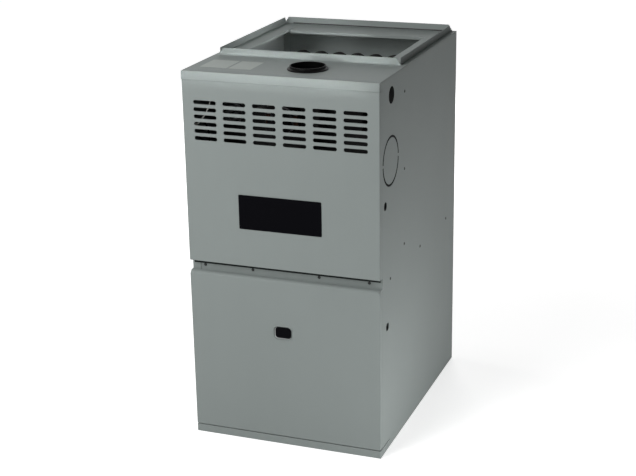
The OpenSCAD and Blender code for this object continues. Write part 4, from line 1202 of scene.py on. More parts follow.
    def rail(self) -> None:
        """The channel between the doors."""
        low, high, y = 462.0, 516.0, self.post
        sheet = Sheet((0, y, 0), Axis.X, Axis.Z).box(-self.inner, low, self.inner, high)
        sheet.fill()
        sheet.fold(lambda p: p.z < low + NEAR, (0, 25, 0))
        sheet.bend(self.bend)
        sheet.done(Place("centre_rail", "casing_paint"), PAINT, self.steel)
        # A near-black strip under the upper door: painted shadow on the rail.
        shadow_strip = Workpiece()
        shadow_strip.block((-262, y - 1.6, 491.2), (262, y - 0.1, 511), 0.4)
        shadow_strip.done(Place("rail_seal", "black_plastic", nodes=()), RAIL_SHADE)

    def deck(self) -> None:
        """The shelf that carries the blower."""
        x, y0, y1, z, skirt = self.inner, -331.7, self.pan_rear, 495.0, (0, 0, -24)
        inset = x - self.relief
        sheet = Sheet((0, 0, z), Axis.X, Axis.Y)
        notch = y0 + self.relief
        sheet.halves((inset, y0), (inset, notch), (x, notch), (x, y1))
        sheet.square_hole(0, -17.3, 278, 271.8, 2)
        sheet.fill()
        sheet.fold(lambda p: p.y < y0 + NEAR, skirt)
        sheet.fold(lambda p: abs(p.x) > x - NEAR, skirt)
        sheet.bend(self.bend)
        sheet.done(Place("blower_deck", "galvanised_sheet"), ZINC, self.steel)

    def vestibule(self) -> None:
        """The wall between the burners and the heat exchanger."""
        x, y, low, high, hole = self.inner, -152.6, 496.2, self.wall_top, 21.2
        foot, shoulder = low + self.relief, high - self.relief
        inset = x - 12
        sheet = Sheet((0, y, 0), Axis.X, Axis.Z)
        right = [(inset, low), (inset, foot), (x, foot), (x, shoulder), (inset, shoulder), (inset, high)]
        sheet.halves(*right, lead=3)
        row = TubeRow()
        for i in range(row.tubes):
            for z in (row.fire_z, row.fire_z + 3 * row.rise):
                sheet.round_hole(row.across(i), z, hole, 32)
        sheet.fill()
        sheet.fold(lambda p: p.z > high - NEAR, (0, 9.6, 0))
        sheet.fold(lambda p: p.z < low + NEAR, (0, -18, 0))
        sheet.fold(lambda p: abs(p.x) > x - NEAR, (0, 20, 0))
        sheet.bend(1.0)
        # The vestibule takes the near-black painted shade zinc.
        sheet.done(Place("vestibule_panel", "galvanised_sheet"), ZINC_SHADED, self.steel)

    def screws(self) -> None:
        """Hexagon washer head screws, tall ones in the back and the rail and low ones in the sides."""
        work, tall, low = Workpiece(), 3.0, 1.2
        for side in (-1, 1):
            for z in (60, 358.7, 657.4, 996):
                self.screw(work, (side * 256.7, self.rear, z), Axis.Y, 1, tall)
            for z in (537, 744.5, 951):
                self.screw(work, (side * self.half, -147.6, z), Axis.X, side, low)
            for y in (-268.6, 0, 260.6):
                self.screw(work, (side * self.half, y, 481), Axis.X, side, low)
            for x in (93.3, 230.7):
                self.screw(work, (side * x, self.post, 487), Axis.Y, -1, tall)
        work.done(Place("casing_screws", "galvanised_sheet"), SCREW_BLACK)

    def screw(self, work: Workpiece, seat: Point, axis: Axis, way: int, head: float) -> None:
        """One screw whose head stands along way times axis from its seat."""
        seat = Vector(seat)
        third = head / 3
        washer = [(0, -6), (2, -6), (2, 0), (4.2, 0), (4.2, head * 0.2), (3.3, third), (0, third)]
        work.lathe([(r, z * way) for r, z in washer], seat, axis, 16)
        work.hexagon(seat + axis.vector * way * third, axis, 3.05, way * 2 * third)

    def decals(self) -> None:
        """Two blank decals on the cap."""
        for k, (x0, x1) in enumerate(((-240, -166), (-159, -98)), 1):
            work = Workpiece()
            work.tile(((x0 + x1) / 2, -251.5), (x1 - x0, 89), 2.0, self.height, self.height + 0.15, Axis.Z)
            work.done(Place(f"blank_decal_{k}", "casing_paint", nodes=()), DECAL)


@dataclass
class VentCollar:
    """The black collar that the flue pipe seats in."""

    centre: Triple = (40.0, -248.0, 0.0)
    bore: float = 44.6
    barrel: float = 46.6
    flange: float = 53.6
    low: float = 988.0
    cap: float = 1016.0
    rim: float = 1026.0

    def build(self) -> None:
        """Turns the collar."""
        foot = self.cap + 3
        profile = [
            (self.bore, self.low), (self.bore, self.rim), (self.barrel, self.rim),
            (self.barrel + 0.6, foot + 1.5), (self.flange - 1.5, foot),
            (self.flange, self.cap + 1.2), (self.flange, self.cap), (self.barrel, self.cap),
            (self.barrel, self.low + 1.5), (self.barrel + 3, self.low + 1.5),
            (self.barrel + 3, self.low),
        ]
        work = Workpiece()
        work.lathe(profile, self.centre, Axis.Z, 96, 0.5)
        work.done(Place("vent_collar", "black_plastic"), VENT_BLACK)


# --- doors ---


@dataclass
class Doors:
    """Both door pans with what they carry."""

    half: float = 266.7
    skin: float = -353.6
    steel: float = 1.0
    depth: float = 19.0
    flange: float = 16.0
    louvre: Pair = (63.5, 10.5)
    pitch: Pair = (81.6, 19.05)
    rows: int = 6
    columns: int = 6
    louvre_top: float = 936.0
    window: Pair = (-4.0, 325.0)

    def build(self) -> None:
        """Makes both doors, what they carry and the tab that presses the door switch."""
        self.burner_door()
        self.blower_door()
        self.badge()
        self.sight_glass()
        dressed(Place("door_switch_tab", "galvanised_sheet", "blower_door"), ZINC_FINE, 0.25)

    def pan(self, low: float, high: float) -> Sheet:
        """A door's blank, not yet cut."""
        return Sheet((0, self.skin, 0), Axis.X, Axis.Z).box(-self.half, low, self.half, high)

    def fold_pan(self, sheet: Sheet, low: float, high: float, crown: float = 0.0) -> None:
        """Folds a pan's four walls, and the lips of its top and bottom; crown rounds its upper edge."""
        w, deep, back = self.half - NEAR, self.skin + self.flange, self.depth - self.flange
        sheet.fold(lambda p: abs(p.x) > w or p.z < low + NEAR or p.z > high - NEAR, (0, self.flange, 0))
        if crown > 0:
            sheet.bend(crown, 5, lambda p: p.z > high - NEAR and p.y < self.skin + NEAR)
        sheet.bend(1.8, 4)
        side = self.half - 1.9
        sheet.fold(lambda p: abs(p.x) > w and p.y > deep - NEAR, (0, back, 0))
        sheet.fold(lambda p: abs(p.x) < side and p.z > high - NEAR and p.y > deep - NEAR, (0, 0, -9))
        sheet.fold(lambda p: abs(p.x) < side and p.z < low + NEAR and p.y > deep - NEAR, (0, 0, 9))

    def burner_door(self) -> None:
        """The upper door with its louvres."""
        low, high = 503.0, 993.5
        sheet = self.pan(low, high)
        for i in range(self.columns):
            x = (i - (self.columns - 1) / 2) * self.pitch[0]
            for k in range(self.rows):
                sheet.slot_hole(x, self.louvre_top - k * self.pitch[1], *self.louvre)
        sheet.fill()
        self.fold_pan(sheet, low, high)
        flat = self.skin + NEAR
        sheet.fold(lambda p: abs(p.x) < 250 and 800 < p.z < 960 and p.y < flat, (0, 1.6, 0))
        sheet.bend(0.7, 2)
        sheet.done(Place("burner_door", "casing_paint", "burner_door"), PAINT, self.steel)

    def blower_door(self) -> None:
        """The lower door with the raised frame of its sight glass."""
        low, high = 24.0, 474.0
        x, z = self.window
        sheet = self.pan(low, high)
        sheet.square_hole(x, z, 58, 45, 15)
        sheet.fill()
        self.fold_pan(sheet, low, high, 8.0)

        def near(p: Vector) -> bool:
            """Whether a point is by the window."""
            return abs(p.x - x) < 40 and abs(p.z - z) < 40

        for rise, spread in ((-1.5, (0.95, 1, 0.93)), (-0.2, (0.95, 1, 0.93)), (2.4, (0.94, 1, 0.90))):
            sheet.rim(near, (0, rise, 0), spread, (x, 0, z))
        sheet.bend(0.6, 2)
        sheet.done(Place("blower_door", "casing_paint", "blower_door"), PAINT, self.steel)

    def badge(self) -> None:
        """The plain black plate on the upper door."""
        work = Workpiece()
        work.tile((-4, 652), (229, 93), 3.0, self.skin - 1.0, self.skin - 0.2, Axis.Y, ease=0.3)
        work.done(Place("badge_plate", "black_paint", "burner_door"), BADGE)

    def sight_glass(self) -> None:
        """The smoked lens in its clear rim."""
        work = Workpiece()
        work.tile(self.window, (46, 32), 9.0, self.skin - 0.9, self.skin + 2.2, Axis.Y, ease=0.8)
        work.tile(self.window, (54, 38), 11.0, self.skin + 1.9, self.skin + 3.0, Axis.Y, ease=0.3)
        work.done(Place("sight_rim", "dark_lens", "blower_door", ("sight_glass",)), CLEAR_RIM)
        lens = Workpiece()
        middle = (self.window[0] + 1.4, self.window[1] + 1.8)
        lens.tile(middle, (44, 30.5), 8.5, self.skin - 1.4, self.skin - 0.5, Axis.Y, ease=0.4)
        lens.done(Place("sight_glass", "dark_lens", "blower_door"), LENS)


# --- heat exchanger ---


@dataclass
class HeatExchanger(TubeRow):
    """Six serpentine tubes and the box that gathers their flue gas."""

    radius: float = 21.0
    flare: float = 23.5
    wall: float = 1.2
    end: float = -155.6
    rear_bend: float = 164.6
    front_bend: float = -63.6

    def build(self) -> None:
        """Bends the tubes and rounds the edges of the box."""
        for i in range(self.tubes):
            self.tube(i)
        dressed(Place("flue_collector_box", "aluminised_steel"), HOUSING_STEEL, 1.0, 3)

    def tube(self, i: int) -> None:
        """One tube, from its fired end up to its flue end."""
        x, z, half = self.across(i), self.fire_z, self.rise / 2
        long = self.rear_bend - self.panel - 2
        short = self.rear_bend - self.front_bend
        pipe = Pipe((x, self.end, z), Axis.Y, self.flare)
        pipe.run((0, self.panel - self.end, 0)).run((0, 1, 0)).swell(self.radius / self.flare)
        pipe.run((0, 1, 0)).run((0, long, 0))
        pipe.bend((x, self.rear_bend, z + half), Axis.X, 180)
        pipe.run((0, -short, 0))
        pipe.bend((x, self.front_bend, z + 3 * half), Axis.X, -180)
        pipe.run((0, short, 0))
        pipe.bend((x, self.rear_bend, z + 5 * half), Axis.X, 180)
        pipe.run((0, -long, 0)).run((0, -1, 0))
        pipe.run((0, -1, 0)).swell(self.flare / self.radius).run((0, self.end - self.panel, 0))
        name = f"heat_exchanger_tube_{i + 1}"
        # The tube takes the near-black painted shade finish.
        pipe.done(Place(name, "aluminised_steel"), TUBE_SHADE, self.wall)


# --- inducer ---


@dataclass
class Inducer:
    """The draft inducer: housing, motor, wheel and cooling fan."""

    x: float = -15.0
    z: float = 888.0
    front: float = -253.0
    bore: float = 4.06
    motor_front: float = -307.0
    motor_back: float = -263.0

    def build(self) -> None:
        """Makes the inducer's pieces."""
        dressed(Place("inducer_housing", "aluminised_steel"), HOUSING_STEEL, 0.6, 2, 40)
        self.motor()
        self.rotor()

    def centre(self, y: float = 0.0) -> Triple:
        """A point on the shaft's line."""
        return (self.x, y, self.z)

    def motor(self) -> None:
        """The motor: two end bells on legs, its core and its coil."""
        nodes, slot = ("inducer_motor",), "black_paint"
        bells, bore = Workpiece(), self.bore
        for way, y in ((1, self.motor_front), (-1, self.motor_back)):
            profile = [(bore, 0), (9, 0), (10, 4), (24, 7), (33, 9), (33, 13), (23, 13), (14, 8), (bore, 8)]
            bells.lathe([(r, way * d) for r, d in profile], self.centre(y), Axis.Y, 48, 0.5)
        for k in range(3):
            a = math.radians(90 + 120 * k)
            spot = (self.x + 30 * math.cos(a), self.motor_back - 10, self.z + 30 * math.sin(a))
            bells.rod(spot, self.front - 0.2 - spot[1], 3.6, Axis.Y, 0.3, 20)
        bells.done(Place("inducer_motor_bells", slot, nodes=nodes), MOTOR_BLACK)
        core = Workpiece()
        core.block((self.x - 42, -293, self.z - 22), (self.x + 42, -277, self.z + 22), 1.2)
        core.lathe([(24, -293), (36, -293), (36, -277), (24, -277)], self.centre(), Axis.Y, 48, 0.4)
        core.done(Place("inducer_motor_core", slot, nodes=nodes), CORE)
        coil = Workpiece()
        for x in (self.x - 38, self.x + 38):
            coil.block((x - 7, -298, self.z - 15), (x + 7, -272, self.z + 15), 3.0, 3)
        coil.lathe([(20, -297), (31, -297), (31, -273), (20, -273)], self.centre(), Axis.Y, 48, 2.0)
        coil.done(Place("inducer_motor_coil", slot, nodes=nodes), COIL)

    def rotor(self) -> None:
        """The shaft, the wheel and the fan."""
        shaft = Workpiece()
        shaft.rod(self.centre(-319), 110, 4.0, Axis.Y, 0.5)
        shaft.done(Place("inducer_shaft", "shaft_steel", "inducer_rotor"), GROUND)
        wheel = Workpiece()
        x, z, bore, hub, rim = self.x, self.z, self.bore, 9.0, 50.0
        plate = [(bore, -235), (hub, -235), (hub, -231), (rim, -231), (rim, -229.5), (hub, -229.5)]
        wheel.lathe(plate + [(hub, -211), (bore, -211)], self.centre(), Axis.Y, 64, 0.3)
        for k in range(12):
            verts = wheel.block((x + 16, -230, z - 0.5), (x + 49, -205.5, z + 0.5), 0.2, 1)
            wheel.turn(18, (x + 49, 0, z), Axis.Y, verts)
            wheel.turn(30 * k, self.centre(), Axis.Y, verts)
        wheel.done(Place("inducer_wheel", "galvanised_sheet", "inducer_rotor"), ZINC_FINE)
        fan = Workpiece()
        fan.lathe([(bore, -317), (8, -317), (8, -309), (bore, -309)], self.centre(), Axis.Y, 32, 0.4)
        for k in range(6):
            verts = fan.block((x + 7, -313.6, z - 7), (x + 33, -312.4, z + 7), 0.5)
            fan.turn(30, (x, -313, z), Axis.X, verts)
            fan.turn(60 * k, self.centre(), Axis.Y, verts)
        fan.done(Place("inducer_cooling_fan", "black_plastic", "inducer_rotor"), FAN_BLACK)


# --- burners and gas train ---


@dataclass
class GasTrain(TubeRow):
    """Burners, manifold, valve, igniter and flame sensor."""

    burner_front: float = -248.6
    pipe_y: float = -275.6
    pipe_radius: float = 10.7
    bracket_x: float = 173.0
    valve: Triple = (200.7, -275.6, 646.0)
    elbow: float = 22.0

    def build(self) -> None:
        """Makes the gas train's pieces."""
        for i in range(self.tubes):
            self.burner(i)
        dressed(Place("burner_bracket", "galvanised_sheet"), ZINC_FINE, 0.4)
        self.manifold()
        self.jets()
        self.gas_valve()
        self.igniter()
        self.flame_sensor()

    def burner(self, i: int) -> None:
        """One burner, turned as a thin shell with its inlet bell and flame head."""
        profile = [
            (13.8, 0), (15, 0), (15, 12), (13.2, 20), (10, 32), (10, 48), (14, 57), (18, 66),
            (18, 86), (16.8, 86), (16.8, 67), (12.9, 57.6), (8.8, 48.5), (8.8, 31.5), (12, 19.5),
            (13.8, 11.5),
        ]
        name = f"burner_{i + 1}"
        work = Workpiece()
        work.lathe(profile, (self.across(i), self.burner_front, self.fire_z), Axis.Y, 40)
        work.done(Place(name, "aluminised_steel"), BURNER_STEEL, smooth=math.radians(50))

    def manifold(self) -> None:
        """The pipe below the valve, its elbow and the cap on its end."""
        x, y, low = self.valve
        start = -self.bracket_x - 10
        elbow_x = x - self.elbow
        pipe = Pipe((start, y, self.fire_z), Axis.X, self.pipe_radius, 32).cap()
        pipe.run((elbow_x - start, 0, 0))
        pipe.bend((elbow_x, y, self.fire_z + self.elbow), Axis.Y, -90, 10)
        pipe.run((0, 0, low - 12.2 - self.fire_z - self.elbow)).cap()
        outer = self.pipe_radius + 3
        cap = [(0, -8), (outer - 1.4, -8), (outer, -6), (outer, 6), (0, 6)]
        pipe.lathe(cap, (start, y, self.fire_z), Axis.X, 32, 1.0)
        pipe.done(Place("gas_manifold", "black_paint"), BLACK_PIPE)

    def jets(self) -> None:
        """Brass jets from the manifold into the burners."""
        work = Workpiece()
        for i in range(self.tubes):
            seat = (self.across(i), self.pipe_y + self.pipe_radius - 0.6, self.fire_z)
            work.hexagon(seat, Axis.Y, 6.5, 7.0)
            work.lathe([(1.0, 6.9), (4.4, 6.9), (3.5, 10.9), (1.0, 10.9)], seat, Axis.Y, 20, 0.3)
        work.done(Place("burner_orifices", "cast_valve", nodes=("gas_manifold",)), BRASS)

    def gas_valve(self) -> None:
        """The valve's casting with its screws, its connector and its knob."""
        dressed(Place("gas_valve", "cast_valve"), CAST, 0.9, 3, 40)
        x, y, low = self.valve
        front = y - 33
        screws = Workpiece()
        head = [(0, 0), (3.4, 0), (3.4, -1.4), (2.6, -2.2), (0, -2.4)]
        for dx, dz in ((-26, 8), (-26, 76), (-4, 76), (26, 8)):
            screws.lathe(head, (x + dx, front, low + dz), Axis.Y, 20, 0.3)
        cup = [(0, -8), (8.2, -8), (8.2, -9.6), (5, -9.6), (5, -8.8), (0, -8.8)]
        screws.lathe(cup, (x - 16, front, low + 24), Axis.Y, 28, 0.3)
        screws.done(Place("gas_valve_screws", "cast_valve", nodes=()), SCREW_BLACK)
        plug = Workpiece()
        plug.block((x - 26, y - 24, low + 93), (x - 12, y + 24, low + 97), 1.2)
        plug.done(Place("gas_valve_connector", "black_plastic", nodes=()), BLACK_PLASTIC)
        dressed(Place("gas_valve_knob", "black_plastic", "gas_valve_knob"), BLACK_PLASTIC, 0.9, 3, 40)

    def igniter(self) -> None:
        """The hot surface igniter: its holder, its clip and its glow bar."""
        x, z, y = self.across(0), self.fire_z + 28, self.panel
        nodes = ("igniter_and_flame_sensor",)
        holder = Workpiece()
        holder.block((x - 8, y - 14.8, z), (x + 8, y - 5.8, z + 26), 1.5)
        holder.block((x - 5.5, y - 13, z - 3), (x + 5.5, y - 7.5, z + 1), 0.8)
        holder.done(Place("igniter_holder", "ceramic", nodes=nodes), CERAMIC)
        clip = Workpiece()
        clip.block((x - 11, y - 6, z + 4), (x + 11, y - 4.8, z + 22), 0.4)
        for side in (-1, 1):
            clip.block((x + side * 9.5 - 1.5, y - 5, z + 4), (x + side * 9.5 + 1.5, y, z + 22), 0.4)
        clip.done(Place("igniter_clip", "galvanised_sheet", nodes=nodes), ZINC_FINE)
        bar = Pipe((x - 3, y - 6.5, z - 2), Axis.Z, 1.2, 12).cap()
        bar.run((0, 0, -9)).bend((x, y - 6.5, z - 11), Axis.Y, -180, 8).run((0, 0, 9)).cap()
        bar.done(Place("igniter_bar", "grey_plastic", nodes=nodes), GREY_PLASTIC)

    def flame_sensor(self) -> None:
        """The flame sensor: its insulator, its rod and its bracket."""
        x, z, y = self.across(self.tubes - 1), self.fire_z + 28, self.panel
        nodes = ("igniter_and_flame_sensor",)
        body = Workpiece()
        profile = [(0, 0), (3.4, 0), (3.4, 6), (4.5, 7), (4.5, 17), (3.4, 18), (3.4, 26), (0, 26)]
        body.lathe(profile, (x, y - 5.8, z), Axis.Z, 28, 0.4)
        body.done(Place("flame_sensor_insulator", "ceramic", nodes=nodes), CERAMIC)
        metal = Workpiece()
        metal.rod((x, y - 5.8, z - 16), 16.5, 1.4, Axis.Z, 0.3, 16)
        metal.rod((x, y - 5.8, z + 25.5), 8.5, 1.8, Axis.Z, 0.3, 16)
        metal.block((x - 9, y - 1.2, z + 6), (x + 9, y, z + 16), 0.4)
        metal.block((x - 4.6, y - 7, z + 6), (x + 4.6, y, z + 7.2), 0.3)
        metal.done(Place("flame_sensor_rod", "galvanised_sheet", nodes=nodes), GROUND)


# --- safety devices and wiring ---


@dataclass
class Safety:
    """Snap disc switches, the pressure switch with its hose, and the wires."""

    panel: float = -152.8
    switches: tuple[Pair, ...] = ((-86.0, 688.0), (86.0, 688.0), (-206.7, 750.0))
    pressure: Pair = (-208.7, 866.0)
    tap: Triple = (-61.0, -262.2, 922.0)
    grommet: Triple = (-218.7, -206.6, 499.0)
    deck_top: float = 495.2
    wire: float = 1.6
    thin: float = 1.2

    def build(self) -> None:
        """Makes the switches, then the hose and wires between them."""
        self.snap_discs()
        self.pressure_switch()
        self.hose()
        self.harness()

    def snap_discs(self) -> None:
        """Three snap disc switches with their blade terminals."""
        nodes = ("thermal_switches",)
        bodies, metal = Workpiece(), Workpiece()
        y = self.panel
        for x, z in self.switches:
            profile = [(0, -12), (8, -12), (8, -8), (10, -7), (10, -1.4), (0, -1.4)]
            bodies.lathe(profile, (x, y, z), Axis.Y, 32, 0.5)
            metal.block((x - 17, y - 1.2, z - 8), (x + 17, y, z + 8), 0.5)
            metal.lathe([(0, -4), (10.6, -4), (10.6, -1.2), (0, -1.2)], (x, y, z), Axis.Y, 32, 0.5)
            for side in (-1, 1):
                metal.block((x + side * 5 - 3, y - 20, z - 0.4), (x + side * 5 + 3, y - 11, z + 0.4), 0.2, 1)
        bodies.done(Place("snap_disc_bodies", "black_plastic", nodes=nodes), BLACK_PLASTIC)
        metal.done(Place("snap_disc_metal", "galvanised_sheet", nodes=nodes), ZINC_FINE)

    def pressure_switch(self) -> None:
        """The air pressure switch: two shells, its bracket and its nipple."""
        x, z = self.pressure
        y, nodes = self.panel, ("pressure_switch",)
        shell = Workpiece()
        profile = [(0, -32), (22, -32), (24, -30), (26, -23), (32, -22), (32, -9), (28, -8), (0, -8)]
        shell.lathe(profile, (x, y, z), Axis.Y, 56, 0.8)
        shell.rod((x + 14, y - 42, z + 8), 11, 2.8, Axis.Y, 0.4, 20)
        for k in range(8):
            a = TURN * k / 8
            shell.rod((x + 28.5 * math.cos(a), y - 23.5, z + 28.5 * math.sin(a)), 3, 1.8, Axis.Y, 0.4, 14)
        shell.done(Place("pressure_switch_shell", "grey_plastic", nodes=nodes), GREY_PLASTIC)
        bracket = Workpiece()
        bracket.block((x - 22, y - 1.2, z - 22), (x + 22, y, z + 22), 0.5)
        bracket.block((x - 22, y - 8.5, z - 22), (x + 22, y, z - 20.8), 0.4)
        bracket.done(Place("pressure_switch_bracket", "galvanised_sheet", nodes=nodes), ZINC_FINE)

    def hose(self) -> None:
        """The hose from the pressure switch to the inducer's tap."""
        x, z = self.pressure
        start = (x + 14, self.panel - 42.2, z + 8)
        route = along(start, (0, 2, 0), (0, -14, 0), (6, -40, -3), (34, -66, -10))
        route += along(self.tap, (-58, -24, -26), (-18, -27, -4), (0, -14, 0), (0, 2, 0))
        strand(Place("pressure_hose", "hose_rubber"), route, 3.5, RUBBER, 5)

    def drop(self, x: float, y: float, *heights: float) -> list[Vector]:
        """Points over the grommet, x and y off its middle, at heights above it."""
        return along(self.grommet, *((x, y, h) for h in heights))

    def harness(self) -> None:
        """The wires that pass through the deck, with their grommet and a splice."""
        y = self.panel
        ring = Workpiece()
        profile = [(6, 0), (15, 0), (15, 3.8), (11, 3.8), (9, 2.4), (6, 2.4)]
        ring.lathe(profile, (*self.grommet[:2], self.deck_top), Axis.Z, 40, 0.6)
        ring.done(Place("deck_grommet", "black_plastic", nodes=("wire_harness",)), BLACK_PLASTIC)
        x, z = self.pressure
        bow = Vector((-206.7, -309.6, 936))
        route = along((x - 12, y - 32.2, z + 8), (0, 1, 0), (0, -12, 0), (6, -50, 46))
        route += along(bow, (6, 20, 30), (1, 2, 8), (-5, -1, -22))
        route += along(bow, (-14, -8, -42), (-24, -25, -60), (-30, -30, -64))
        self.lead("wire_bowed", route, Lead.WHITE, "wire_harness")
        splice = Workpiece()
        aim = Vector((-16, -4, -4)).to_track_quat("X", "Z").to_matrix().to_4x4()
        profile = [(0, 0), (3.4, 0), (5.4, 2), (5.4, 15), (3.6, 19), (0, 19)]
        verts = splice.lathe(profile, (0, 0, 0), Axis.X, 28, 0.6)
        seat = Matrix.Translation(bow + Vector((-27, -29, -64)))
        bmesh.ops.transform(splice.bm, matrix=seat @ aim, verts=verts)
        splice.done(Place("wire_splice", "wire_insulation", nodes=("wire_harness",)), WHITE_PLASTIC)
        route = along(bow, (-43, -33, -68), (-46, -30, -76), (-42, -16, -90))
        route += along(bow, (-38, 10, -108), (-40, 48, -150))
        route += self.drop(-10, -12, 200) + self.drop(-8, -1, 120) + self.drop(-8, 0, 50, 12, -3)
        self.lead("wire_bowed_sleeve", route, Lead.BLACK, "wire_harness")
        limit = (self.switches[2][0], y - 20.2, self.switches[2][1])
        for side, colour in ((-1, Lead.BLACK), (1, Lead.BROWN)):
            route = along(limit, (5 * side, 3, 0), (5 * side, -12, 0), (4 * side - 3, -24, -16))
            route += self.drop(3 * side, 2, 180) + self.drop(2.5 * side, 0, 110, 40, 12, -3)
            self.lead(f"wire_limit_{colour.name.lower()}", route, colour, "wire_harness")
        tip = (self.switches[0][0] - 5, y - 20.2, self.switches[0][1])
        route = along(tip, (0, 3, 0), (0, -12, 0), (-20, -24, -10), (-64, -31, -20))
        route += self.drop(34, 0, 150) + self.drop(12, 0, 118) + self.drop(8, 0, 70, 12, -3)
        self.lead("wire_rollout", route, Lead.BLUE, "wire_harness")
        self.crossing()
        self.below_deck()

    def crossing(self) -> None:
        """Thin wires that cross the burner compartment above the manifold."""
        y = self.panel
        for k, end in enumerate("ab"):
            top = (-139 + 6 * k, y - 10, 653)
            route = along(top, (0, 0, 0), (0, -3, 10), (-12, -16, 18), (-40, -26, -12 - 4 * k))
            route += self.drop(14 + 2 * k, 6, 60) + self.drop(4, 4 - 2 * k, 22, 4, -3)
            self.lead(f"wire_igniter_{end}", route, Lead.WHITE)
        for k, colour in enumerate((Lead.BROWN, Lead.YELLOW)):
            route = along((181, -290 + 26 * k, 744), (0, 0, 0), (-1, 0, 12), (-16, 20, 16))
            route += [(150, y - 8 - 5 * k, 712), (146, y - 8 - 5 * k, 676), (60, y - 7 - 4 * k, 668 - 5 * k)]
            route += [(-60, y - 7 - 4 * k, 664 - 5 * k), (-150, y - 9 - 4 * k, 640)]
            route += [(-196, y - 26, 570 - 6 * k), *self.drop(-2, -4 + 3 * k, 30, 4, -3)]
            self.lead(f"wire_valve_{colour.name.lower()}", route, colour)
        tip = (self.switches[1][0] + 5, y - 20, self.switches[1][1])
        route = along(tip, (0, 3, 0), (0, -9, 0), (-30, -12, -12)) + [(0, y - 17, 668), (-60, y - 22, 676)]
        route += [(-81, y - 26, 686), (self.switches[0][0] + 5, y - 17, 688)]
        self.lead("wire_between_discs", route, Lead.BLUE)
        route = [(66, -263, 886), (84, -246, 872), (100, -232, 840), (148, -214, 780), (152, y - 20, 700)]
        route += [(120, y - 16, 672), (0, y - 20, 660), (-140, y - 20, 634), (-190, y - 34, 560)]
        self.lead("wire_inducer", route + self.drop(2, -6, 30, 4, -3), Lead.BLACK)

    def below_deck(self) -> None:
        """The grommet's foot, and the wires from it to the board and from there to the motor."""
        g, under = Vector(self.grommet), 493.8
        ring = Workpiece()
        ring.lathe([(6, 0), (15, 0), (15, -3), (6, -3)], (g.x, g.y, under), Axis.Z, 40, 0.6)
        ring.done(Place("deck_grommet_below", "black_plastic", nodes=()), BLACK_PLASTIC)
        for k, colour in enumerate((Lead.WHITE, Lead.RED, Lead.YELLOW, Lead.BLUE, Lead.BROWN)):
            x, y = g.x + 3 * (k - 2), g.y + (k % 2) * 3
            route = [(x, y, under + 3), (x, y, under - 20), (g.x + 8 + 3 * k, g.y - 2, under - 60)]
            route += [(-176 + 3 * k, -204 - k, 380), (-158 + 5 * k, -212 - k, 300)]
            route += along((-86 + 12 * k, -199.5, 303), (-18, -18, -26), (0, -14, -14), (0, -7, 0), (0, 0, 0))
            self.lead(f"wire_board_{colour.name.lower()}", route, colour)
        for k, colour in enumerate((Lead.BLACK, Lead.RED, Lead.BLUE)):
            route = [(112 + 4 * k, 2, 262), (112 + 4 * k, -30, 274), (150 + 3 * k, -96, 296)]
            route += [(152 + 3 * k, -150, 300), (140, -196, 262 - 4 * k), (70, -212 - 2 * k, 246 - 4 * k)]
            route += [(-20, -214 - 2 * k, 250 - 4 * k)]
            route += along((-76 + 6 * k, -205, 318), (0, -16, -30), (0, -10, -4), (0, 0, 0))
            self.lead(f"wire_motor_{colour.name.lower()}", route, colour)

    def lead(self, name: str, route: Sequence[Point], colour: Lead, node: str = "") -> None:
        """One wire, thicker where it stands for a node."""
        nodes = (node,) if node else ()
        width = self.wire if node else self.thin
        strand(Place(name, "wire_insulation", nodes=nodes), route, width, colour.finish(), 2)


# --- blower ---


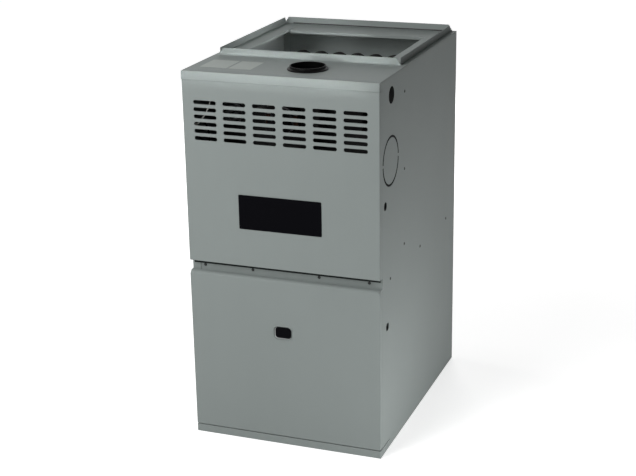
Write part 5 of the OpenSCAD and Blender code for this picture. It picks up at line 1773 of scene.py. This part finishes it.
@dataclass
class Blower:
    """The circulating air blower."""

    y: float = 60.6
    z: float = 235.0
    wheel: float = 127.0
    wheel_half: float = 125.0
    blade: float = 22.0
    blades: int = 36
    hub: float = 22.0
    shaft: float = 6.35
    bore: float = 6.41
    motor: Triple = (62.0, 184.0, 70.0)

    def build(self) -> None:
        """Makes the blower's pieces."""
        for name in ("blower_scroll", "blower_side_left", "blower_side_right"):
            dressed(Place(name, "galvanised_sheet"), ZINC, 0.35, 2, 40)
        self.rotor()
        self.drive()

    def rotor(self) -> None:
        """The squirrel cage wheel on its shaft."""
        body, slot = "blower_rotor", "galvanised_sheet"
        nodes = ("blower_wheel_plate", "blower_wheel_left", "blower_wheel_right")
        half, rim, inner = self.wheel_half, self.wheel, self.wheel - self.blade
        centre = (0, self.y, self.z)
        blades, lean = Workpiece(), 22.0
        for k in range(self.blades):
            first = blades.bm.verts.new((-half + 1, self.y, self.z + inner + 1))
            bmesh.ops.spin(
                blades.bm,
                geom=[first],
                cent=(0, self.y + 19, self.z + inner + 1),
                axis=(1, 0, 0),
                angle=-math.radians(60),
                steps=4,
                use_merge=False,
                use_duplicate=False,
            )
            made = [v for v in blades.bm.verts if v.is_valid and len(v.link_faces) == 0]
            blades.turn(-lean, (0, self.y, self.z + inner + 1), Axis.X, made)
            grown = bmesh.ops.extrude_edge_only(blades.bm, edges=edges_of(made))["geom"]
            far = [g for g in grown if isinstance(g, bmesh.types.BMVert)]
            blades.move((2 * half - 2, 0, 0), far)
            blades.turn(360 * k / self.blades, centre, Axis.X, made + far)
        blades.done(Place("blower_wheel_blades", slot, body, nodes), ZINC_FINE, 0.9)
        frame_work = Workpiece()
        for side in (-1, 1):
            hoop = [(inner + 1, 0), (rim, 0), (rim, 9), (rim - 1, 9), (rim - 1, 1.2), (inner + 1, 1.2)]
            frame_work.lathe([(r, side * (half - d)) for r, d in hoop], centre, Axis.X, 96, 0.3)
        edge, eye = rim - 1.2, self.hub - 2
        disc = [(eye, -1), (60, -1), (70, -3), (edge, -3), (edge, -1), (70, -1), (60, 1), (eye, 1)]
        frame_work.lathe(disc, centre, Axis.X, 96)
        boss = [(self.bore, -14), (self.hub, -14), (self.hub, 22), (self.bore, 22)]
        frame_work.lathe(boss, centre, Axis.X, 48, 0.8)
        frame_work.done(Place("blower_wheel_frame", slot, body, nodes), ZINC_FINE)
        shaft = Workpiece()
        shaft.rod((-22, self.y, self.z), self.motor[1] + 34, self.shaft, Axis.X, 0.8)
        shaft.done(Place("blower_shaft", "shaft_steel", body), GROUND)

    def drive(self) -> None:
        """The motor in its band."""
        x0, x1, radius = self.motor
        shell = Workpiece()
        half_bell = [(self.bore, -4), (18, -4), (18, 0.5), (30, 1), (50, 4), (56, 8)]
        half_bell += [(radius - 4, 11), (radius, 17)]
        profile = [(r, x0 + d) for r, d in half_bell] + [(r, x1 - d) for r, d in reversed(half_bell)]
        shell.lathe(profile, (0, self.y, self.z), Axis.X, 72, 0.8)
        shell.done(Place("blower_motor", "black_paint"), MOTOR_BLACK)
        vents = Workpiece()
        for k in range(12):
            verts = vents.block((x1 - 5.2, self.y - 3, self.z + 28), (x1 - 3.2, self.y + 3, self.z + 46), 0.6)
            vents.turn(30 * k, (0, self.y, self.z), Axis.X, verts)
        vents.done(Place("blower_motor_ribs", "black_paint", nodes=()), MOTOR_BLACK)
        dressed(Place("motor_bracket", "galvanised_sheet"), ZINC_FINE, 0.4, 2, 40)


# --- controls ---


@dataclass
class Controls:
    """The control plate with its board, transformer and capacitor; the door switch and the wiring box."""

    plate: float = -176.4
    board: tuple[float, float, float, float] = (-98.0, 42.0, 284.0, 404.0)
    board_gap: float = 12.0
    lamp: Pair = (-4.0, 325.0)
    switch: Pair = (150.0, 447.8)

    def build(self) -> None:
        """Makes the controls."""
        dressed(Place("control_plate", "galvanised_sheet"), ZINC, 0.4)
        self.circuit()
        self.transformer()
        self.capacitor()
        self.door_switch()
        dressed(Place("junction_box", "galvanised_sheet"), ZINC_FINE, 0.4)

    def circuit(self) -> None:
        """The board on its posts, with relays, strips, connectors and its lamp."""
        x0, x1, low, high = self.board
        back = self.plate - self.board_gap
        face = back - 1.6
        nodes = ("control_board",)
        slab = Workpiece()
        slab.block((x0, face, low), (x1, back, high), 0.4)
        slab.done(Place("control_board_slab", "circuit_board", nodes=nodes), BOARD)
        posts, dark, pale, metal = Workpiece(), Workpiece(), Workpiece(), Workpiece()
        for x in (x0 + 6, x1 - 6):
            for z in (low + 6, high - 6):
                posts.rod((x, face - 1.6, z), self.plate - 0.2 - face + 1.6, 3, Axis.Y, 0.4, 20)
        for x in (x0 + 14, x0 + 42):
            dark.block((x, face - 16, high - 40), (x + 20, face, high - 12), 1.2)
        pale.block((x0 + 74, face - 14, high - 34), (x0 + 112, face, high - 14), 0.8)
        pale.block((x0 + 12, face - 9, low + 10), (x0 + 70, face, low + 20), 0.6)
        pale.block((x0 + 10, face - 12, low + 34), (x0 + 34, face, low + 66), 0.8)
        for k in range(6):
            x = x0 + 16 + 10 * k
            metal.lathe([(0, -10), (2.6, -10), (2.6, -9), (0, -9)], (x, face, low + 15), Axis.Y, 16, 0.2)
            x = x0 + 78 + 6 * k
            metal.block((x, face - 17, high - 26), (x + 0.8, face - 14, high - 20), 0.1, 1)
        dark.rod((x0 + 56, face - 14, low + 54), 14, 8, Axis.Y, 0.8)
        rng = random.Random(7)
        for row in range(5):
            for col in range(7):
                if rng.random() < 0.35:
                    continue
                x, z = x0 + 72 + 9 * col, low + 10 + 11 * row
                if x > x1 - 10 or abs(x - self.lamp[0]) < 9 and abs(z - self.lamp[1]) < 9:
                    continue
                kind = rng.random()
                if kind < 0.5:
                    dark.block((x - 3, face - 1.8, z - 1.6), (x + 3, face, z + 1.6), 0.3, 1)
                elif kind < 0.8:
                    pale.block((x - 3.2, face - 2.4, z - 1.0), (x + 3.2, face, z + 1.0), 0.4, 1)
                else:
                    dark.rod((x, face - 7, z), 7, 2.6, Axis.Y, 0.4, 16)
        posts.done(Place("control_board_posts", "white_plastic", nodes=nodes), WHITE_PLASTIC)
        dark.done(Place("control_board_relays", "black_plastic", nodes=nodes), BLACK_PLASTIC)
        pale.done(Place("control_board_terminals", "white_plastic", nodes=nodes), WHITE_PLASTIC)
        metal.done(Place("control_board_screws", "galvanised_sheet", nodes=()), GROUND)
        lamp = Workpiece()
        dome = [(0, -6), (1.4, -5.6), (2.3, -4.6), (2.6, -3.4), (2.6, 0), (0, 0)]
        lamp.lathe(dome, (self.lamp[0], face, self.lamp[1]), Axis.Y, 20)
        lamp.done(Place("status_lamp", "dark_lens", nodes=nodes), RED_LAMP)

    def transformer(self) -> None:
        """The transformer: laminated core, coil and mounting plate."""
        x, y, z = 60.0, self.plate - 0.2, 438.0
        nodes, slot = ("transformer",), "black_paint"
        foot = Workpiece()
        foot.block((x - 34, y - 1.5, z - 18), (x + 34, y, z + 18), 0.4)
        foot.done(Place("transformer_foot", "galvanised_sheet", nodes=nodes), ZINC_FINE)
        core = Workpiece()
        for dx, dz in ((-20, -24), (20, 24)):
            core.block((x + dx - 10, y - 33, z - 28), (x + dx + 10, y - 9, z + 28), 0.8)
            core.block((x - 12, y - 33, z + dz - 4), (x + 12, y - 9, z + dz + 4), 0.6)
        core.done(Place("transformer_core", slot, nodes=nodes), CORE_X)
        coil = Workpiece()
        coil.block((x - 25, y - 40, z - 19), (x + 25, y - 1.5, z + 19), 3.0, 3)
        coil.done(Place("transformer_coil", "black_plastic", nodes=nodes), BLACK_PLASTIC)

    def capacitor(self) -> None:
        """The motor's run capacitor in its strap."""
        y, z, x = self.plate - 19.2, 438.0, -130.0
        nodes, slot = ("capacitor",), "galvanised_sheet"
        can = Workpiece()
        profile = [(0, 0), (16.5, 0), (18, 2), (18, 71), (17, 71), (17, 74), (0, 74)]
        can.lathe(profile, (x, y, z), Axis.X, 48, 0.6)
        can.done(Place("capacitor_can", slot, nodes=nodes), GROUND)
        strap = Workpiece()
        strap.lathe([(18.1, 28), (19, 28), (19, 42), (18.1, 42)], (x, y, z), Axis.X, 48, 0.2)
        for side in (-1, 1):
            strap.block((x + 70, y - 1.3 + side * 7, z - 3), (x + 84, y - 0.5 + side * 7, z + 3), 0.2, 1)
        strap.done(Place("capacitor_strap", slot, nodes=nodes), ZINC_FINE)

    def door_switch(self) -> None:
        """The door's safety switch and its plunger."""
        dressed(Place("door_switch", "black_plastic"), BLACK_PLASTIC, 0.5, 2, 40)
        x, z = self.switch
        plunger = Workpiece()
        plunger.rod((x, -340.6, z), 340.6 - 317.9, 3.0, Axis.Y, 0.8, 28)
        plunger.done(Place("door_switch_plunger", "white_plastic", "door_switch_plunger"), WHITE_PLASTIC)


# --- studio ---


@dataclass
class Lamp:
    """A soft rectangular lamp that looks at a point of the furnace."""

    name: str
    spot: Triple
    aim: Triple
    size: Pair
    power: float
    spread: float = 180.0
    shines: bool = True

    def hang(self) -> None:
        """Puts the lamp in the scene."""
        data = bpy.data.lights.new(self.name, "AREA")
        data.shape = "RECTANGLE"
        data.size, data.size_y = self.size
        data.energy = self.power
        data.spread = math.radians(self.spread)
        lamp = stand(self.name, data)
        lamp.location = self.spot
        look = Vector(self.aim) - Vector(self.spot)
        lamp.rotation_euler = look.to_track_quat("-Z", "Y").to_euler()
        lamp.visible_camera = False
        lamp.visible_glossy = self.shines


@dataclass
class Studio:
    """Pale floor, white surroundings, soft lamps and the camera."""

    floor_shade: float = 0.72
    glow_near: float = 0.70
    glow_far: float = 0.95
    far: float = 3.0
    footprint: Pair = (0.264, 0.352)
    room: float = 0.08
    lamps: tuple[Lamp, ...] = (
        Lamp("key", (-1.15, -2.4, 1.8), (0.0, -0.3, 0.75), (1.0, 1.0), 26.0),
        Lamp("high", (-0.8, -2.3, 2.7), (0.0, -0.3, 0.8), (1.0, 1.0), 31.0),
        Lamp("front", (-0.7, -3.4, 1.15), (0.0, -0.35, 0.8), (0.9, 0.9), 12.0),
        Lamp("low", (0.95, -0.42, 0.02), (0.27, -0.25, 0.02), (1.0, 0.2), 7.6),
        Lamp("throat", (0.16, 0.10, 0.95), (-0.26, 0.10, 0.97), (0.03, 0.3), 0.85, 110.0, False),
        Lamp("brow", (-0.1, -0.95, 1.028), (0.0, -0.15, 1.028), (0.5, 0.02), 0.075, 12.0, False),
        Lamp("back", (-0.8, 3.6, 1.6), (0.0, 0.35, 0.5), (1.6, 1.6), 60.0, 180.0, False),
        Lamp("left", (-3.4, 0.4, 1.5), (-0.27, 0.0, 0.5), (1.6, 1.6), 42.0, 180.0, False),
    )
    eye: Triple = (1.33345, -3.60102, 1.78622)
    azimuth: float = 20.8
    elevation: float = 18.82
    roll: float = -1.0
    lens: float = 81.22

    def set_up(self) -> None:
        """Builds the studio."""
        self.camera()
        self.floor()
        self.surroundings()
        for lamp in self.lamps:
            lamp.hang()
        bpy.context.scene.view_settings.view_transform = "Standard"

    def camera(self) -> None:
        """The photograph's point of view."""
        a, e, r = (math.radians(v) for v in (self.azimuth, self.elevation, self.roll))
        ahead = Vector((-math.sin(a) * math.cos(e), math.cos(a) * math.cos(e), -math.sin(e)))
        right = Vector((math.cos(a), math.sin(a), 0))
        up = right.cross(ahead)
        tilted_right = right * math.cos(r) + up * math.sin(r)
        tilted_up = up * math.cos(r) - right * math.sin(r)
        form = Matrix((tilted_right, tilted_up, -ahead)).transposed().to_4x4()
        data = bpy.data.cameras.new("camera")
        data.lens = self.lens
        data.sensor_fit = "HORIZONTAL"
        data.sensor_width = 36.0
        data.clip_end = 200.0
        camera = stand("camera", data)
        camera.matrix_world = Matrix.Translation(self.eye) @ form
        bpy.context.scene.camera = camera

    def seen(self, tree: bpy.types.NodeTree) -> bpy.types.NodeSocket:
        """1 for rays from the camera, a reflection or a glass, or else 0."""
        path = tree.nodes.new("ShaderNodeLightPath")
        total = path.outputs["Is Camera Ray"]
        for kind in ("Is Glossy Ray", "Is Transmission Ray"):
            add = tree.nodes.new("ShaderNodeMath")
            add.operation = "MAXIMUM"
            tree.links.new(total, add.inputs[0])
            tree.links.new(path.outputs[kind], add.inputs[1])
            total = add.outputs[0]
        return total

    def floor(self) -> None:
        """A wide pale floor that keeps the object's shadow."""
        bm = bmesh.new()
        bmesh.ops.create_grid(bm, x_segments=1, y_segments=1, size=60.0)
        mesh = bpy.data.meshes.new("floor")
        bm.to_mesh(mesh)
        bm.free()
        floor = stand("floor", mesh)
        shader = Shader("floor_white")
        shader.put(Base_Color=(self.floor_shade,) * 3, Roughness=0.9, Specular_IOR_Level=0.0)
        place = shader.place()
        away = shader.node("ShaderNodeVectorMath", {"operation": "LENGTH"}, {0: place}, "Value")
        x, y = (shader.node("ShaderNodeSeparateXYZ", inputs={0: place}, output=axis) for axis in "XY")
        within = (x * (1 / self.footprint[0])) ** 8.0 + (y * (1 / self.footprint[1])) ** 8.0
        near = shader.mix(within.step(0.9, 1.1), (0.0, 0.0, 0.0), (self.glow_near,) * 3)
        colour = shader.mix(away.step(self.far / 3, self.far), near, (self.glow_far,) * 3)
        glow = shader.node("ShaderNodeEmission", {}, {"Color": colour}, "Emission")
        plain = Value(shader, shader.surface.outputs[0])
        both = shader.node("ShaderNodeAddShader", {}, {0: plain, 1: glow})
        shown = Value(shader, self.seen(shader.tree))
        seen = shader.node("ShaderNodeMixShader", {}, {0: shown, 1: plain, 2: both})
        output = next(n for n in shader.tree.nodes if n.type == "OUTPUT_MATERIAL")
        shader.tree.links.new(seen.socket, output.inputs["Surface"])
        mesh.materials.append(shader.material)

    def surroundings(self) -> None:
        """A world that is white to the eye and dimmer as light."""
        world = bpy.data.worlds.new("studio")
        world.use_nodes = True
        tree = world.node_tree
        tree.nodes.clear()
        dim, white = tree.nodes.new("ShaderNodeBackground"), tree.nodes.new("ShaderNodeBackground")
        dim.inputs["Strength"].default_value = self.room
        for background in (dim, white):
            background.inputs["Color"].default_value = (1, 1, 1, 1)
        choice = tree.nodes.new("ShaderNodeMixShader")
        output = tree.nodes.new("ShaderNodeOutputWorld")
        tree.links.new(self.seen(tree), choice.inputs[0])
        tree.links.new(dim.outputs[0], choice.inputs[1])
        tree.links.new(white.outputs[0], choice.inputs[2])
        tree.links.new(choice.outputs[0], output.inputs["Surface"])
        bpy.context.scene.world = world


def main() -> None:
    """Builds the studio and the furnace."""
    logging.basicConfig(level=logging.INFO, format="%(name)s: %(message)s")
    Studio().set_up()
    for assembly in (Casing, VentCollar, Doors, HeatExchanger, Inducer, GasTrain, Safety, Blower, Controls):
        assembly().build()
        log.info("%s is built", assembly.__name__)


if __name__ == "__main__":
    main()
